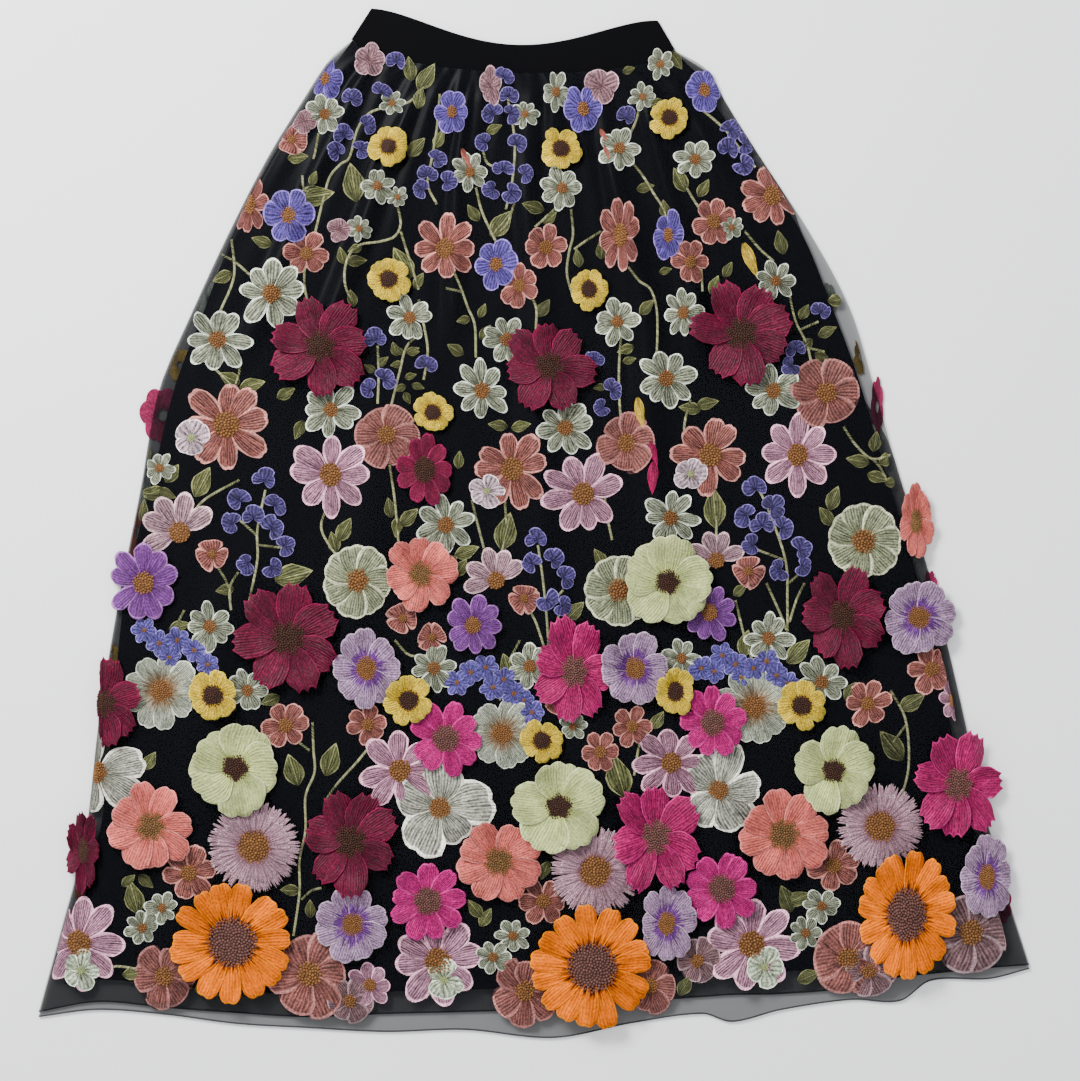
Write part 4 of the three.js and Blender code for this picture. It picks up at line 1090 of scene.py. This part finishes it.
SEWN = [
    # sort, shade and the number of its first solid, then x and y from the origin, radius, turn and the
    # shares of the width kept on each side
    ("thistle", "", 1, [
        (-279, -323, 47, 0, 1, 1), (61, -347, 46, 9, 1, 1), (345, -302, 44, 4, 1, 1),
    ]),
    ("aster", "", 1, [
        (-389, -60, 38, 12, 1, 0.95), (-61, -102, 30, 0, 0.95, 0.95), (175, -89, 30, 20, 0.9, 0.9),
    ]),
    ("daisy", "crimson", 1, [(-109, 53, 36, 5, 0.8, 0.8)]),
    ("daisy", "", 2, [
        (-88, -215, 38, 0, 1, 1), (178, -199, 37, 14, 0.85, 0.9), (-106, -377, 39, 8, 1, 1),
        (187, -364, 39, 3, 0.95, 0.95),
    ]),
    ("windflower", "", 1, [
        (-167, -145, 40, 0, 0.82, 0.82), (384, -94, 38, 10, 1, 1), (-181, -400, 38, 20, 0.95, 0.95),
        (132, -399, 39, 0, 0.65, 0.75), (452, -353, 41, 6, 0.68, 0.62), (101, -145, 38, 14, 0.9, 0.9),
    ]),
    ("cosmos", "", 1, [
        (-213, 176, 49, 12, 1, 1), (15, 156, 47, 40, 0.95, 0.95), (207, 189, 51, 22, 1, 1),
        (-245, -115, 54, 30, 1, 1),
    ]),
    ("cosmos", "pink", 5, [(40, -148, 53, 5, 0.8, 0.78)]),
    ("cosmos", "", 6, [(307, -93, 51, 25, 0.75, 0.85), (-183, -317, 53, 18, 0.9, 0.92)]),
    ("cosmos", "pink", 8, [(121, -313, 55, 36, 0.78, 0.85), (423, -261, 53, 10, 0.82, 0.82)]),
    ("cosmos", "", 10, [(-430, -180, 43, 20, 0.12, 1), (-449, -327, 41, 0, 0.42, 0.4)]),
    ("buttercup", "", 1, [
        (-145, 375, 20, 0, 1, 1), (27, 373, 21, 20, 1, 1), (135, 404, 20.5, 10, 1, 1),
        (-145, 243, 22, 30, 1, 1), (55, 233, 22, 5, 0.84, 0.84), (-101, 110, 20, 0, 1, 1),
        (-320, -172, 25, 15, 1, 1), (-125, -177, 24, 40, 1, 1), (8, -217, 22, 12, 1, 1),
        (141, -168, 24, 0, 0.8, 0.8), (267, -182, 24, 25, 1, 1),
    ]),
    ("poppy", "", 1, [
        (-113, -51, 38, 0, 0.92, 0.92), (-382, -303, 43, 12, 1, 1), (-35, -337, 42, 20, 1, 1),
        (249, -311, 45, 6, 1, 1), (381, 2, 37, 10, 0.42, 0.5),
    ]),
    ("anemone", "", 1, [
        (133, -59, 44, 8, 1, 1), (-298, -244, 47, 0, 1, 1), (25, -283, 46, 22, 1, 1),
        (299, -247, 44, 14, 0.92, 0.92),
    ]),
    ("gerbera", "", 1, [
        (-301, -418, 61, 4, 1, 1), (58, -442, 61, 0, 1, 1), (371, -390, 64, 9, 0.75, 0.78),
    ]),
]


def solid_height(node):
    """How high a sewn-on flower's solid is at places, a little softened, in millimetres."""
    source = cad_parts[node]
    points = [source.matrix_world @ vertex.co * 1000 for vertex in source.data.vertices]
    tree = BVHTree.FromPolygons(points, [tuple(face.vertices) for face in source.data.polygons])
    level = float(np.median([point.z for point in points]))

    def one(x, y):
        hit = tree.ray_cast((x, y, 300.0), (0, 0, -1))[0]
        return (hit or tree.find_nearest((x, y, level))[0]).z

    def height(x, y):
        out = np.empty(x.shape)
        for index in np.ndindex(x.shape):
            px, py = float(x[index]), float(y[index])
            around = (one(px + 4, py), one(px - 4, py), one(px, py + 4), one(px, py - 4))
            out[index] = (2 * one(px, py) + sum(around)) / 6
        return out

    return height


olive_hearts = new_work()
rosewood_hearts = new_work()
HEARTS = {"gold": gold_hearts, "brown": brown_hearts, "olive": olive_hearts, "rosewood": rosewood_hearts}
LOOKS = ("gaps", "rows", "heart_end", "petal_start", "edge_at", "shine", "gloss", "glints")
for sort, shade, first, places in SEWN:
    style = dict(RAISED[sort])
    colours, petals, heart = style.pop("colours"), style.pop("petals"), style.pop("heart")
    if shade:
        colours, knots_colour = OTHER_SHADES[sort, shade]
        heart = (knots_colour, *heart[1:])
    look = {key: style.pop(key) for key in LOOKS if key in style}
    style.setdefault("lift", 0.1)
    work = new_work()
    nodes = []
    for number, (x, y, radius, turn, left, right) in enumerate(places):
        nodes.append(f"{sort}_{number + first:02d}")
        height = solid_height(nodes[-1])
        across, down = x + CORNER_X, CORNER_Y - y
        add_flower(work, across, down, radius, petals, turn, squeeze=(left, right), height=height,
                   wraps=False, **style)
        if sort == "thistle":
            add_flower(work, across, down, radius * 0.76, 90, turn, start=0.4, width=1.8, base=0.7,
                       round_off=0.2, puff=0.7, lift=0.8, uneven=0.08, cells=(6, 3), height=height,
                       squeeze=(left, right), bright=0.9, wraps=False)
        colour, share, knots = heart
        add_heart(HEARTS[colour], across, down, radius * share * 0.9, dome=1.6, knots=knots,
                  squeeze=(max(left, 0.4), max(right, 0.4)), height=height, lift=1.25)
    thread = thread_material(f"{sort}_{first}_thread", *colours, **look)
    piece = make_piece(f"raised_{sort}_{first}_flowers", work, thread, thick=1.0)
    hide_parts(*nodes)

# Hearts: the knots of all the flowers, each one turn of thick thread. They are gold in most of the flat
# flowers, green in the pansies, and gold, brown, rosewood or olive in the raised ones.
for name, work, colour in (
    ("gold_knots", gold_hearts, (0.19, 0.082, 0.026)),
    ("brown_knots", brown_hearts, (0.045, 0.019, 0.012)),
    ("rosewood_knots", rosewood_hearts, (0.12, 0.052, 0.042)),
    ("olive_knots", olive_hearts, (0.15, 0.078, 0.028)),
    ("green_knots", green_hearts, (0.30, 0.34, 0.14)),
):
    make_piece(name, work, knot_material(name, colour))

# Surface, camera and light: a white surface to lie on, a long lens straight above it, and soft light
# from a wide lamp at the upper left with a pale sky all round.
bpy.ops.mesh.primitive_plane_add(size=6, location=(0, 0, -0.0005))
floor = bpy.context.object
floor.name = "white_surface"
white = bpy.data.materials.new("white_surface")
white.use_nodes = True
white.node_tree.nodes["Principled BSDF"].inputs["Base Color"].default_value = (0.97, 0.97, 0.97, 1)
white.node_tree.nodes["Principled BSDF"].inputs["Roughness"].default_value = 0.9
floor.data.materials.append(white)

world = bpy.data.worlds.new("soft_sky")
world.use_nodes = True
world.node_tree.nodes["Background"].inputs["Color"].default_value = (0.95, 0.97, 1.0, 1)
world.node_tree.nodes["Background"].inputs["Strength"].default_value = 1.15
bpy.context.scene.world = world

bpy.ops.object.light_add(type="AREA", location=(-1.1, 1.3, 1.7))
lamp = bpy.context.object
lamp.name = "window_light"
lamp.data.shape = "RECTANGLE"
lamp.data.size = 1.0
lamp.data.size_y = 0.8
lamp.data.energy = 105
lamp.rotation_euler = (Vector((0, 0, 0)) - lamp.location).to_track_quat("-Z", "Y").to_euler()

CAMERA_HEIGHT = 4.0
SENSOR = 36
SHOWN_HEIGHT = 1.081  # metres from the picture's lower edge to its upper one
bpy.ops.object.camera_add(location=(0.006, -0.0175, CAMERA_HEIGHT), rotation=(0, 0, 0))
camera = bpy.context.object
camera.data.sensor_width = SENSOR
camera.data.lens = SENSOR * CAMERA_HEIGHT / SHOWN_HEIGHT
camera.data.dof.use_dof = False
bpy.context.scene.camera = camera
